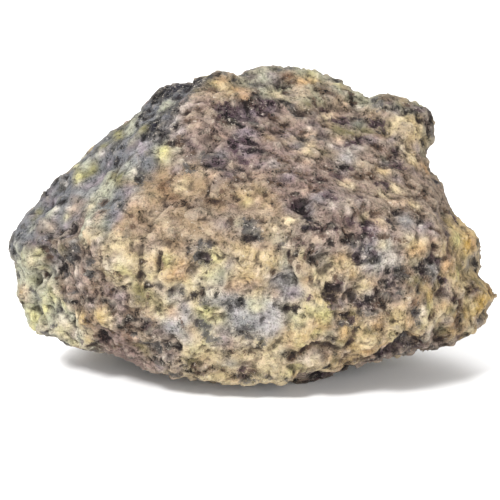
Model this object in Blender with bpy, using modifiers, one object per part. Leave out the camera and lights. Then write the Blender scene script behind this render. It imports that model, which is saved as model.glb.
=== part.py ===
"""A hand specimen of granulite, modelled as one closed block of stone.

The block is made in the order in which such a stone gets its shape. Flat fractures bound it, a knob stands
on its right shoulder, its skin breaks into small planes and ledges, feldspar lumps stand out of its lower
band with hollows between them, and a small flat spot under it carries it.

Lengths are in millimetres here and become metres at the very end. +X runs along the stone, +Z is up, and -Y
faces the viewer. The origin lies on the resting plane, under the middle of the stone's bounding box.
"""

import math
import random

import bmesh
import bpy
import numpy as np
from mathutils import Vector, noise
from mathutils.bvhtree import BVHTree

# Driving dimensions, in millimetres
LENGTH = 100.0
RESTING_LEVEL = 0.0
UNDERSIDE = -0.5
LOWEST_HOLLOW = 0.3
WORN_BELOW = 2.0
SLAB_THICKNESS = 10.0
MM = 0.001

# The stone is drawn as it is seen from the front, from a little above and from arm's length.
LOOK_DOWN = math.radians(15.0)
VIEW_DISTANCE = 430.0
VIEW_CENTRE = Vector((0.0, 0.0, 30.0))
FRONT_FOOT = (0.0, -15.0, 0.0)

# Surface resolution
SKIN = 0.9
TRIANGLES = 9200

# How the flat fractures break up: the size of each form and how far it moves the surface
SWELL_SIZE = 26.0
SWELL_HEIGHT = 1.5
PLANE_SIZE = 14.0
PLANE_HEIGHT = 3.2
LEDGE_SIZE = 6.5
LEDGE_HEIGHT = 1.9
GRAIN_SIZE = 4.4
GRAIN_HEIGHT = 0.9
WANDER_PLACES = (Vector((0.0, 0.0, 0.0)), Vector((31.7, 5.1, -12.3)), Vector((-9.4, 47.2, 22.8)))

# The lower band is lumpy up to this height. Above it the grains flatten out over the fade.
LUMPY_BELOW = 30.0
LUMPY_FADE = 12.0
LEAST_LUMPY = 0.35
WORN_SHARE = 0.2

# Corners of the main block as (across, deep, high). Deep grows away from the viewer.
BLOCK_CORNERS = {
    # skyline, from the left tip over the top to the right shoulder
    "left_tip": (-50.0, -2.0, 26.7),
    "left_shoulder": (-46.5, 4.0, 31.7),
    "left_slope_low": (-41.0, 8.0, 37.3),
    "left_slope_mid": (-31.7, 10.0, 45.2),
    "left_slope_high": (-23.5, 10.0, 51.7),
    "left_peak": (-19.8, 4.0, 57.7),
    "summit_left": (-9.5, 0.0, 62.3),
    "summit_mid": (-0.3, 4.0, 62.6),
    "summit_right": (8.1, 6.0, 62.7),
    "summit_end": (13.4, 8.0, 61.1),
    "right_shoulder": (18.2, 8.0, 59.1),
    "right_notch": (25.5, 8.0, 53.5),
    # edge between the grey left face and the tan face
    "edge_low": (-30.1, -24.0, 34.0),
    "edge_mid": (-19.0, -13.0, 46.1),
    "edge_high": (-14.7, -3.0, 57.6),
    # foot of the tan face, where the lumpy band begins
    "brow_left": (-4.4, -28.0, 34.8),
    "brow_mid": (16.1, -28.0, 36.0),
    "brow_right": (36.6, -20.0, 33.0),
    # the lumpy band's fullest part
    "belly_left": (-24.9, -24.0, 21.0),
    "belly_mid": (-8.5, -27.0, 15.5),
    "belly_right": (10.0, -27.0, 15.5),
    "belly_far": (28.4, -24.0, 16.8),
    "belly_end": (40.8, -16.0, 18.8),
    # right end
    "right_tip": (50.0, -3.0, 17.0),
    "right_low": (47.7, -2.0, 10.8),
    "right_rise": (45.5, -4.0, 28.5),
    "right_neck": (40.0, 0.0, 34.6),
    "right_top": (35.6, 4.0, 44.8),
    # lower edge, from left to right
    "foot_far_left": (-46.1, -2.0, 10.6),
    "foot_left": (-37.7, -10.0, 7.2),
    "foot_left_mid": (-26.0, -19.0, 7.6),
    "foot_front_left": (-15.0, -22.0, 3.8),
    "foot_front": (-3.2, -24.5, 2.8),
    "foot_front_right": (6.5, -24.5, 3.0),
    "foot_right_mid": (20.2, -22.0, 6.2),
    "foot_right": (37.3, -15.0, 7.8),
    "foot_far_right": (44.2, -9.0, 9.1),
    # back
    "back_left_low": (-32.0, 24.0, 9.0),
    "back_left": (-38.0, 18.0, 21.0),
    "back_left_high": (-29.0, 26.0, 31.0),
    "back_top_left": (-12.0, 25.0, 50.0),
    "back_top": (9.0, 27.0, 52.0),
    "back_top_right": (26.0, 23.0, 45.0),
    "back_right": (41.0, 16.0, 27.0),
    "back_right_low": (43.0, 13.0, 13.0),
    "back_foot_right": (24.0, 28.0, 9.0),
    "back_foot": (-4.0, 32.0, 11.0),
    "back_belly": (12.0, 34.0, 29.0),
    # resting spot
    "rest_left": (-15.0, 1.0, -0.8),
    "rest_front_left": (-10.0, -11.0, -0.7),
    "rest_front_right": (8.0, -12.0, -0.7),
    "rest_right": (15.0, 1.0, -0.7),
    "rest_back_right": (12.0, 11.0, -0.7),
    "rest_back": (-1.0, 15.0, -0.8),
    "rest_back_left": (-11.0, 12.0, -0.7),
}

# Corners of the knob on the right shoulder.
KNOB_CORNERS = {
    "knob_root_low": (20.0, 0.0, 40.0),
    "knob_root_high": (23.0, 3.0, 54.0),
    "knob_root_back": (20.0, 16.0, 44.0),
    "knob_top_left": (26.0, 6.0, 56.6),
    "knob_top": (31.0, 9.0, 55.2),
    "knob_top_right": (36.4, 7.0, 54.0),
    "knob_side": (37.6, 6.0, 50.4),
    "knob_chin": (37.2, 5.0, 46.0),
    "knob_throat": (34.0, -1.0, 44.6),
    "knob_front_low": (30.0, -3.5, 45.0),
    "knob_front_high": (31.0, 1.0, 53.0),
    "knob_back_high": (33.0, 17.0, 50.0),
    "knob_back_low": (34.0, 18.0, 42.0),
}

# The stone's outline in that view, clockwise from the left tip, as (across, up from the lowest point).
OUTLINE = [
    (-50.0, 28.9), (-48.9, 31.8), (-46.5, 35.3), (-43.6, 38.4), (-41.0, 41.9), (-37.6, 44.4), (-35.3, 46.8),
    (-31.7, 49.9), (-28.7, 52.4), (-26.5, 53.4), (-23.5, 56.3), (-21.3, 58.7), (-19.6, 60.6), (-15.3, 62.0),
    (-12.4, 62.0), (-11.5, 63.0), (-9.4, 63.9), (-6.4, 64.5), (-4.0, 63.7), (-2.6, 63.7), (-1.7, 64.6),
    (2.9, 65.4), (8.2, 65.7), (13.4, 64.8), (16.7, 63.3), (18.3, 62.9), (20.1, 61.3), (22.6, 60.0),
    (24.0, 58.8), (25.4, 59.5), (27.2, 60.1), (29.8, 59.8), (32.4, 58.8), (34.7, 57.9), (36.3, 57.4),
    (37.3, 56.2), (37.6, 53.8), (37.3, 51.6), (37.8, 50.3), (37.1, 49.1), (35.8, 48.0), (35.7, 46.0),
    (36.8, 44.3), (38.8, 42.4), (39.9, 40.0), (40.6, 37.0), (43.2, 34.0), (45.3, 32.7), (46.9, 30.4),
    (46.9, 28.4), (46.5, 25.9), (46.6, 23.1), (48.2, 22.0), (49.9, 19.9), (50.0, 18.3), (49.0, 16.2),
    (47.8, 14.9), (47.9, 13.5), (46.8, 11.7), (44.4, 10.0), (41.2, 8.6), (37.3, 7.2), (33.4, 6.3),
    (29.6, 6.1), (26.4, 5.4), (20.3, 4.0), (13.7, 1.7), (9.7, 0.4), (6.5, 0.2), (2.5, 0.6),
    (-2.6, 0.1), (-6.4, 0.4), (-12.0, 1.3), (-16.6, 1.6), (-18.2, 2.7), (-22.2, 3.6), (-26.1, 6.0),
    (-29.1, 6.7), (-34.9, 7.3), (-37.5, 8.0), (-39.5, 9.6), (-42.5, 10.3), (-44.5, 10.9), (-46.1, 13.2),
    (-46.6, 15.4), (-47.5, 16.5), (-48.3, 18.8), (-48.2, 20.7), (-47.4, 21.4), (-48.3, 23.7), (-49.2, 26.0),
]

# The outline is measured from this point. The skin is drawn in or out beyond a share of the way to the rim.
OUTLINE_CENTRE = (0.0, 31.0)
OUTLINE_SECTORS = 240
RIM_START = 0.72
RIM_WIDTH = 0.28

# Edge of the tan layer, which lies a little proud of the grey left face and of the lumpy band under it.
TAN_EDGE = [
    (-10.6, 61.8), (-14.7, 58.5), (-16.7, 50.9), (-19.0, 44.8), (-21.3, 40.0), (-24.7, 38.2), (-25.8, 34.3),
    (-30.1, 30.2), (-24.0, 28.4), (-17.0, 29.6), (-11.0, 30.8), (-4.0, 30.0), (3.0, 31.4),
]
TAN_RISE = 1.0
TAN_STEP = 0.8
TAN_FADE = 16.0

# Lumps of feldspar as (across, up, radius, rise), placed on the front as it is seen from the viewpoint.
LUMPS = [
    # left end
    (-44.6, 26.5, 3.6, 1.0), (-47.0, 19.0, 2.4, 0.9), (-41.0, 18.6, 3.4, 1.1), (-42.6, 13.4, 3.0, 0.9),
    (-38.5, 11.5, 2.6, 0.8), (-34.0, 13.6, 2.6, 1.2), (-30.3, 14.8, 2.2, 0.9),
    # under the tan face
    (-27.2, 25.8, 3.6, 1.1), (-20.9, 25.0, 2.2, 1.3), (-16.2, 24.6, 3.4, 1.2), (-22.8, 18.4, 2.9, 1.1),
    (-17.0, 17.6, 2.4, 0.8), (1.0, 24.4, 5.2, 0.9), (10.5, 24.2, 2.8, 1.0), (19.0, 24.6, 3.0, 0.9),
    (-8.0, 18.8, 3.0, 0.7), (-12.5, 8.6, 3.6, 0.8), (-5.6, 10.5, 3.0, 0.6),
    # lower right
    (13.2, 14.3, 4.2, 1.5), (9.6, 9.8, 2.8, 1.2), (19.0, 11.2, 2.6, 1.0), (23.8, 8.9, 3.2, 1.4),
    (29.9, 13.6, 3.0, 1.0), (35.6, 14.0, 3.2, 1.2), (39.4, 16.8, 2.6, 0.9), (33.0, 20.6, 2.8, 0.7),
    (46.2, 18.5, 3.6, 1.3), (44.4, 29.4, 3.4, 1.2), (40.2, 24.8, 2.6, 0.8), (4.0, 5.6, 3.2, 0.8),
    # upper faces
    (18.7, 37.2, 3.4, 0.9), (31.6, 53.2, 3.6, 0.8), (-33.4, 44.6, 2.6, 0.7), (-36.0, 42.0, 2.2, 0.6),
    (-27.6, 40.6, 2.8, 0.7), (-24.0, 49.8, 2.4, 0.8), (-17.4, 51.6, 2.6, 0.7), (-33.0, 32.4, 2.4, 0.7),
]

# Hollows as (across, up, radius, depth), placed in the same way.
HOLLOWS = [
    (-30.4, 10.3, 2.6, 1.7), (-36.2, 31.8, 2.4, 1.3), (-15.3, 8.2, 1.8, 1.3), (-19.2, 20.8, 1.8, 0.8),
    (-38.4, 24.4, 2.6, 1.0), (-10.4, 28.3, 2.4, 0.7), (7.2, 20.2, 2.6, 0.9), (16.4, 19.4, 2.2, 1.1),
    (23.5, 16.4, 3.0, 1.2), (37.3, 26.7, 2.8, 1.2), (38.8, 22.4, 1.8, 1.2), (10.2, 36.5, 2.6, 1.2),
    (19.3, 32.2, 3.2, 1.1), (29.0, 35.2, 2.4, 0.8), (-2.0, 56.6, 3.4, 0.7), (6.4, 60.6, 2.0, 1.0),
    (28.0, 53.0, 1.8, 0.8), (14.8, 7.4, 2.0, 1.3), (20.4, 7.6, 1.8, 1.2), (30.6, 8.4, 3.2, 1.2),
    (38.0, 10.2, 2.8, 1.0), (-24.4, 12.4, 2.2, 0.7), (2.0, 14.6, 2.6, 0.6), (-19.4, 53.5, 2.0, 0.8),
]

# Lumps and hollows of the sides that this view does not show
HIDDEN_LUMPS = 46
HIDDEN_SEED = 7
HIDDEN_CENTRE = (0.0, 2.0, 28.0)
HIDDEN_RADIUS = (2.2, 4.2)
HIDDEN_RISE = (-1.0, 1.3)
UNDERSIDE_LIMIT = 6.0

STONE_COLOUR = (0.47, 0.39, 0.29, 1.0)
STONE_ROUGHNESS = 0.82


def clear_scene():
    """Remove whatever the file opened with."""
    for stale in list(bpy.data.objects):
        bpy.data.objects.remove(stale, do_unlink=True)


def new_collection(name):
    """Make a collection and link it to the scene."""
    collection = bpy.data.collections.new(name)
    bpy.context.scene.collection.children.link(collection)
    return collection


def hull_block(name, corners, collection):
    """Close the flat fractures between a block's corners."""
    mesh = bpy.data.meshes.new(name)
    shell = bmesh.new()
    for corner in corners.values():
        shell.verts.new(corner)
    hull = bmesh.ops.convex_hull(shell, input=shell.verts)
    bmesh.ops.delete(shell, geom=hull["geom_interior"], context="VERTS")
    bmesh.ops.recalc_face_normals(shell, faces=shell.faces)
    shell.to_mesh(mesh)
    shell.free()
    block = bpy.data.objects.new(name, mesh)
    collection.objects.link(block)
    return block


def settle(block):
    """Turn an object's modifiers into its own mesh."""
    graph = bpy.context.evaluated_depsgraph_get()
    finished = bpy.data.meshes.new_from_object(block.evaluated_get(graph))
    block.modifiers.clear()
    block.data = finished


def join(block, part):
    """Fuse a second block into the first."""
    union = block.modifiers.new("fuse", "BOOLEAN")
    union.operation = "UNION"
    union.object = part
    part.hide_render = True
    part.display_type = "WIRE"
    settle(block)


def skin(block, size):
    """Cover the block with an even net of faces of this size."""
    remesh = block.modifiers.new("skin", "REMESH")
    remesh.mode = "VOXEL"
    remesh.voxel_size = size
    settle(block)


def points_and_normals(block):
    """The block's vertices and their normals, as arrays."""
    count = len(block.data.vertices)
    points = np.empty(count * 3)
    normals = np.empty(count * 3)
    block.data.vertices.foreach_get("co", points)
    block.data.vertices.foreach_get("normal", normals)
    return points.reshape(-1, 3), normals.reshape(-1, 3)


def put_points(block, points):
    """Move the block's vertices."""
    block.data.vertices.foreach_set("co", points.ravel())
    block.data.update()


def stand(points):
    """Press the lowest skin down to one even level, which the resting spot is cut from."""
    points[points[:, 2] < LOWEST_HOLLOW, 2] = UNDERSIDE
    return points


def wander(spot):
    """A direction that changes slowly from place to place: three plain noises, read at places far apart."""
    return Vector([noise.noise(spot + away) for away in WANDER_PLACES])


def broken_plane(point, size, place):
    """Height of a skin of small tilted planes: each cell is flat, and steps part it from the next."""
    bent = point / size + place
    bent += 0.35 * wander(bent * 1.7)
    _, seeds = noise.voronoi(bent)
    tilt = wander(seeds[0] * 7.31)
    lift = noise.noise(seeds[0] * 3.17)
    return tilt.dot(bent - seeds[0]) + 0.55 * lift


def cobble(point, size, place):
    """Height of a skin of rounded grains packed against each other, with creases between them."""
    away, _ = noise.voronoi(point / size + place)
    return math.sqrt(max(0.0, 1.0 - (away[0] / 0.8) ** 2)) - 0.75


def break_skin(block):
    """Break the flat fractures into swells, planes, ledges and packed grains."""
    points, normals = points_and_normals(block)
    for i, (point, normal) in enumerate(zip(points, normals)):
        spot = Vector(point)
        swell = SWELL_HEIGHT * noise.noise(spot / SWELL_SIZE)
        planes = PLANE_HEIGHT * broken_plane(spot, PLANE_SIZE, Vector((3.0, 1.0, 5.0)))
        ledges = LEDGE_HEIGHT * broken_plane(spot, LEDGE_SIZE, Vector((9.0, 4.0, 2.0)))
        lumpy = min(1.0, max(LEAST_LUMPY, 1.0 - (point[2] - LUMPY_BELOW) / LUMPY_FADE))
        planes *= 0.55 + 0.45 * lumpy
        grains = GRAIN_HEIGHT * lumpy * cobble(spot, GRAIN_SIZE, Vector((1.0, 7.0, 6.0)))
        under = normal[2] < -0.8 and point[2] < WORN_BELOW
        worn = WORN_SHARE if under else 1.0
        points[i] += normal * (swell + planes + ledges + grains) * worn
    put_points(block, stand(points))


def view_axes():
    """Right, up and forward of the viewpoint, and where the eye is."""
    right = Vector((1.0, 0.0, 0.0))
    forward = Vector((0.0, math.cos(LOOK_DOWN), -math.sin(LOOK_DOWN)))
    up = right.cross(forward)
    return right, up, forward, VIEW_CENTRE - forward * VIEW_DISTANCE


def seen(points):
    """Where points appear in the view: across and up at the stone's middle, and how far away they are."""
    right, up, forward, eye = view_axes()
    offset = points - np.array(eye)
    depth = offset @ np.array(forward)
    across = offset @ np.array(right) * VIEW_DISTANCE / depth
    high = offset @ np.array(up) * VIEW_DISTANCE / depth
    return across, high, depth


def outline_radius(angles, outline, centre):
    """Distance from the centre to the outline, in each direction."""
    corners = np.array(outline) - centre
    bearing = np.arctan2(corners[:, 1], corners[:, 0])
    reach = np.hypot(corners[:, 0], corners[:, 1])
    order = np.argsort(bearing)
    return np.interp(angles, bearing[order], reach[order], period=math.tau)


def fit_outline(block, rounds=3):
    """Draw the skin in or out near its silhouette until the stone has its outline."""
    right, up, _, _ = view_axes()
    low = min(high for _, high in OUTLINE)
    centre = np.array(OUTLINE_CENTRE)
    sectors = OUTLINE_SECTORS
    for _ in range(rounds):
        points, _ = points_and_normals(block)
        across, high, depth = seen(points)
        floor = seen(np.array([FRONT_FOOT]))[1][0]
        flat = np.column_stack((across, high - floor + low)) - centre
        bearing = np.arctan2(flat[:, 1], flat[:, 0])
        reach = np.hypot(flat[:, 0], flat[:, 1])
        sector = ((bearing + math.pi) / math.tau * sectors).astype(int) % sectors
        widest = np.zeros(sectors)
        np.maximum.at(widest, sector, reach)
        middle = (np.arange(sectors) + 0.5) / sectors * math.tau - math.pi
        wanted = outline_radius(middle, OUTLINE, centre)
        ratio = np.interp(bearing, middle, wanted / widest, period=math.tau)
        rim = np.interp(bearing, middle, widest, period=math.tau)
        nearness = np.clip((reach / rim - RIM_START) / RIM_WIDTH, 0.0, 1.0)
        share = nearness * nearness * (3.0 - 2.0 * nearness)
        move = flat * ((ratio - 1.0) * share)[:, None] * (depth / VIEW_DISTANCE)[:, None]
        points += np.outer(move[:, 0], np.array(right)) + np.outer(move[:, 1], np.array(up))
        put_points(block, stand(points))


def raise_tan_layer(block):
    """Lift the tan layer off its neighbours along its edge, and let it run out into the face behind."""
    points, normals = points_and_normals(block)
    across, high, _ = seen(points)
    floor = seen(np.array([FRONT_FOOT]))[1][0]
    flat = np.column_stack((across, high - floor))
    side = np.full(len(points), np.inf)
    inside = np.zeros(len(points))
    for start, end in zip(TAN_EDGE[:-1], TAN_EDGE[1:]):
        start, end = np.array(start), np.array(end)
        run = end - start
        share = np.clip((flat - start) @ run / (run @ run), 0.0, 1.0)
        gap = flat - start - np.outer(share, run)
        near = np.hypot(gap[:, 0], gap[:, 1])
        left_of_run = run[0] * gap[:, 1] - run[1] * gap[:, 0]
        inside = np.where(near < side, np.sign(left_of_run), inside)
        side = np.minimum(side, near)
    depth = np.clip(side / TAN_STEP, 0.0, 1.0) * np.clip(1.0 - side / TAN_FADE, 0.0, 1.0)
    front = np.clip(-normals[:, 1] * 3.0, 0.0, 1.0)
    put_points(block, points + normals * (TAN_RISE * depth * front * (inside > 0))[:, None])


def surface_tree(block):
    """A search tree of the block's faces."""
    graph = bpy.context.evaluated_depsgraph_get()
    return BVHTree.FromObject(block, graph)


def on_front(tree, across, high):
    """The point of the stone that the viewer sees at this place."""
    right, up, forward, eye = view_axes()
    floor = seen(np.array([FRONT_FOOT]))[1][0]
    aim = eye + forward * VIEW_DISTANCE + right * across + up * (high + floor)
    return tree.ray_cast(eye, (aim - eye).normalized())[0]


def hidden_places(tree, count, seed):
    """Points scattered over the sides that the view does not show."""
    draw = random.Random(seed)
    middle = Vector(HIDDEN_CENTRE)
    found = []
    while len(found) < count:
        turn = draw.uniform(0.0, math.tau)
        rise = draw.uniform(-0.6, 1.0)
        ray = Vector((math.cos(turn), math.sin(turn), rise)).normalized()
        if ray.y < 0.1:
            continue
        hit = tree.ray_cast(middle, ray)[0]
        if hit.z < UNDERSIDE_LIMIT:
            continue
        found.append((hit, draw.uniform(*HIDDEN_RADIUS), draw.uniform(*HIDDEN_RISE)))
    return found


def raise_lumps(block):
    """Swell the feldspar lumps out of the skin and sink the hollows into it."""
    tree = surface_tree(block)
    spots = [(on_front(tree, across, high), radius, rise) for across, high, radius, rise in LUMPS]
    spots += [(on_front(tree, across, high), radius, -depth) for across, high, radius, depth in HOLLOWS]
    spots = [spot for spot in spots if spot[0] is not None]
    spots += hidden_places(tree, HIDDEN_LUMPS, HIDDEN_SEED)
    points, normals = points_and_normals(block)
    lift = np.zeros(len(points))
    for centre, radius, rise in spots:
        away = np.linalg.norm(points - np.array(centre), axis=1) / radius
        dome = np.sqrt(np.clip(1.0 - away * away, 0.0, 1.0))
        lift += rise * dome
    put_points(block, stand(points + normals * lift[:, None]))


def thin_out(block, triangles):
    """Merge faces where the skin is flat, down to this many triangles."""
    block.data.calc_loop_triangles()
    thin = block.modifiers.new("thin_out", "DECIMATE")
    thin.ratio = triangles / len(block.data.loop_triangles)
    thin.use_collapse_triangulate = True
    settle(block)


def flatten_rest(block, ground):
    """Cut the stone flat where it stands, with a slab whose top is the resting plane."""
    bpy.ops.mesh.primitive_cube_add(size=1.0, location=(0.0, 0.0, RESTING_LEVEL - SLAB_THICKNESS / 2))
    slab = bpy.context.object
    slab.name = "ground_slab"
    slab.data.transform(slab.matrix_world)
    slab.matrix_world.identity()
    for vertex in slab.data.vertices:
        vertex.co.x *= 2.0 * LENGTH
        vertex.co.y *= 2.0 * LENGTH
        vertex.co.z = RESTING_LEVEL if vertex.co.z > RESTING_LEVEL - SLAB_THICKNESS / 2 else -SLAB_THICKNESS
    for holder in list(slab.users_collection):
        holder.objects.unlink(slab)
    ground.objects.link(slab)
    cut = block.modifiers.new("rest", "BOOLEAN")
    cut.operation = "DIFFERENCE"
    cut.solver = "EXACT"
    cut.object = slab
    slab.hide_render = True
    slab.display_type = "WIRE"
    settle(block)


def place(block):
    """Bring the block to its true length, in metres, centred over its resting plane."""
    points, _ = points_and_normals(block)
    low, high = points.min(axis=0), points.max(axis=0)
    middle = (low + high) / 2
    foot = np.array((middle[0], middle[1], low[2]))
    put_points(block, (points - foot) * (LENGTH / (high[0] - low[0])) * MM)


def stone_material():
    """Weathered grey-tan stone."""
    material = bpy.data.materials.new("granulite")
    material.use_nodes = True
    shader = material.node_tree.nodes["Principled BSDF"]
    shader.inputs["Base Color"].default_value = STONE_COLOUR
    shader.inputs["Roughness"].default_value = STONE_ROUGHNESS
    shader.inputs["Metallic"].default_value = 0.0
    material.diffuse_color = STONE_COLOUR
    return material


def main():
    clear_scene()
    stone_parts = new_collection("granulite")
    helpers = new_collection("helpers")
    stone = hull_block("granulite", BLOCK_CORNERS, stone_parts)
    knob = hull_block("knob_form", KNOB_CORNERS, helpers)
    join(stone, knob)
    skin(stone, SKIN)
    break_skin(stone)
    fit_outline(stone)
    raise_tan_layer(stone)
    raise_lumps(stone)
    fit_outline(stone)
    skin(stone, SKIN)
    thin_out(stone, TRIANGLES)
    flatten_rest(stone, helpers)
    place(stone)
    stone.data.materials.clear()
    stone.data.materials.append(stone_material())
    stone.data.shade_flat()


main()
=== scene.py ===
# %% [markdown]
# # A hand specimen of granulite
# Granulite is a rock that was cooked deep in the crust. This broken block has a tan upper face, a grey left
# face and a lumpy lower band where pale feldspar stands out between dark grains. The solid model already has
# its planes, ledges and knob. This notebook gives it a skin: a plan of the minerals as they lie in the
# picture is laid on the stone, then come the small relief, the finish and the light.

import math
import random

import bpy
import numpy as np
from mathutils import Euler, Matrix, Vector, noise
from mathutils.bvhtree import BVHTree
from mathutils.kdtree import KDTree


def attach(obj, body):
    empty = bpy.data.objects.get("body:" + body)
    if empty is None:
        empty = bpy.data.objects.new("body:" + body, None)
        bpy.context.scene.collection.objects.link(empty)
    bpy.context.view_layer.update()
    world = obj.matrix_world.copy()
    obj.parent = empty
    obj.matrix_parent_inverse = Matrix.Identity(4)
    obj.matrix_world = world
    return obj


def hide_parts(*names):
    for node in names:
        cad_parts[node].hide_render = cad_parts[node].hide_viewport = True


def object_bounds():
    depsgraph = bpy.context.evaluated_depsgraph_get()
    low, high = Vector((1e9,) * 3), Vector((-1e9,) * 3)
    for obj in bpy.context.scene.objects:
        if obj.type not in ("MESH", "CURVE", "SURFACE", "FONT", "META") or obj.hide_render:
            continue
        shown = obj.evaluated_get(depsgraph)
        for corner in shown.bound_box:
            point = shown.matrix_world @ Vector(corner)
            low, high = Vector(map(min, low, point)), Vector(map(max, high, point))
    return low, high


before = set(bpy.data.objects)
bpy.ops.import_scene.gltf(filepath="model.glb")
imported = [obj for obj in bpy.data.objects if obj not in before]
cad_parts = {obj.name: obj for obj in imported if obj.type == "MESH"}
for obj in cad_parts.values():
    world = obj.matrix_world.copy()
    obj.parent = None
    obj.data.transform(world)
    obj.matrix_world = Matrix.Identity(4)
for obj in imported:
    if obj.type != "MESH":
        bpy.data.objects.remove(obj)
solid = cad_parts["granulite"]
cad_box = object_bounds()
MM = 0.001  # a millimetre, as Blender works in metres
print("solid stone", len(solid.data.polygons), "faces, from", cad_box[0][:], "to", cad_box[1][:])

# %% [markdown]
# ## The camera comes first
# The stone is looked at from arm's length and a little from above. Every patch of mineral below is named by
# where it lies in that picture, so the camera is set up before the surface is made. It is zoomed, and slid
# sideways and up, until the solid stone fills the same part of the frame as the real one.

# %% Camera
PICTURE = 500
LOOK_DOWN = math.radians(15.0)
CAMERA_DISTANCE = 0.43
SENSOR = 36.0

across_axis = Vector((1.0, 0.0, 0.0))
into_axis = Vector((0.0, math.cos(LOOK_DOWN), -math.sin(LOOK_DOWN)))
up_axis = across_axis.cross(into_axis)

camera = bpy.data.objects.new("camera", bpy.data.cameras.new("camera"))
bpy.context.scene.collection.objects.link(camera)
bpy.context.scene.camera = camera
camera.data.sensor_width = SENSOR
camera.rotation_euler = into_axis.to_track_quat("-Z", "Y").to_euler()
camera.location = (cad_box[0] + cad_box[1]) / 2 - into_axis * CAMERA_DISTANCE
print("camera", CAMERA_DISTANCE, "m from the stone's middle")

# %% Fit the stone into the picture
LEFT, RIGHT, TOP, BOTTOM = 7.0, 495.5, 66.0, 386.0  # the edges of the real stone in the picture
FIRST_WIDTH = 0.10267  # how wide the picture is at the stone, as a first guess
FRAMING_ROUNDS = 6


def picture_places(points, focal):
    """Where points appear in the picture, in pixels from its top left corner."""
    offset = points - np.array(camera.location)
    depth = offset @ np.array(into_axis)
    column = PICTURE / 2 + offset @ np.array(across_axis) / depth * focal
    row = PICTURE / 2 - offset @ np.array(up_axis) / depth * focal
    return column, row


solid_points = np.array([vertex.co[:] for vertex in solid.data.vertices])
focal = PICTURE * CAMERA_DISTANCE / FIRST_WIDTH
for _ in range(FRAMING_ROUNDS):
    column, row = picture_places(solid_points, focal)
    focal *= (RIGHT - LEFT) / (column.max() - column.min())
    column, row = picture_places(solid_points, focal)
    miss_right = (column.min() + column.max() - LEFT - RIGHT) / 2
    miss_down = (row.min() + row.max() - TOP - BOTTOM) / 2
    camera.location += (across_axis * miss_right - up_axis * miss_down) * CAMERA_DISTANCE / focal
camera.data.lens = SENSOR * focal / PICTURE
PIXEL = CAMERA_DISTANCE / focal
print("lens", round(camera.data.lens, 1), "mm; one pixel is", round(PIXEL / MM, 3), "mm on the stone")

# %% [markdown]
# ## A fine net over the solid
# The solid has flat faces about two millimetres wide. Grains of rock are smaller, so a copy of it is covered
# with an even net of half-millimetre faces. The copy's loose triangles are merged first, because a voxel
# remesh needs a closed shell, and a light smoothing takes the flat faces away. From here on places and sizes
# on the stone are in millimetres, which are easier to read at this size.

# %% Cover a copy of the solid with a fine net
MERGED_WITHIN = 0.00001
NET = 0.52 * MM
SMOOTHING_STEPS = 7

stone = bpy.data.objects.new("granulite_stone", solid.data.copy())
bpy.context.scene.collection.objects.link(stone)
bpy.ops.object.select_all(action="DESELECT")
stone.select_set(True)
bpy.context.view_layer.objects.active = stone
bpy.ops.object.mode_set(mode="EDIT")
bpy.ops.mesh.select_all(action="SELECT")
bpy.ops.mesh.remove_doubles(threshold=MERGED_WITHIN)
bpy.ops.object.mode_set(mode="OBJECT")

net = stone.modifiers.new("net", "REMESH")
net.mode = "VOXEL"
net.voxel_size = NET
bpy.ops.object.modifier_apply(modifier=net.name)
soften = stone.modifiers.new("soften", "SMOOTH")
soften.factor = 0.5
soften.iterations = SMOOTHING_STEPS
bpy.ops.object.modifier_apply(modifier=soften.name)
print("net of", len(stone.data.polygons), "faces")

# %% Read the net


def read_net():
    """The net's points and normals, in millimetres."""
    count = len(stone.data.vertices)
    points = np.empty(count * 3)
    normals = np.empty(count * 3)
    stone.data.vertices.foreach_get("co", points)
    stone.data.vertices.foreach_get("normal", normals)
    return points.reshape(-1, 3) / MM, normals.reshape(-1, 3)


def neighbours_mean(values_at):
    """The mean of each point's neighbours."""
    total = np.zeros_like(values_at)
    count = np.zeros(len(values_at))
    for here, there in ((0, 1), (1, 0)):
        np.add.at(total, edges[:, here], values_at[edges[:, there]])
        np.add.at(count, edges[:, here], 1.0)
    return total / count.reshape(-1, *[1] * (values_at.ndim - 1))


points, normals = read_net()
edges = np.empty(len(stone.data.edges) * 2, dtype=np.int64)
stone.data.edges.foreach_get("vertices", edges)
edges = edges.reshape(-1, 2)
tree = BVHTree.FromObject(stone, bpy.context.evaluated_depsgraph_get())
print(len(points), "points joined by", len(edges), "edges")

# %% [markdown]
# ## The minerals
# A granulite is a mosaic of a few minerals, and each has many tones. Each tone has a plain name here, with
# its colour, how far its patches stand out of the surface, and how many dark and pale grains are scattered
# through it.

# %% Minerals


def paint(red, green, blue):
    """A colour as a painter reads it, from 0 to 255, in the linear light that Blender works in."""
    def linear(level):
        level /= 255.0
        return level / 12.92 if level <= 0.04045 else ((level + 0.055) / 1.055) ** 2.4
    return linear(red), linear(green), linear(blue)


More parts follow.
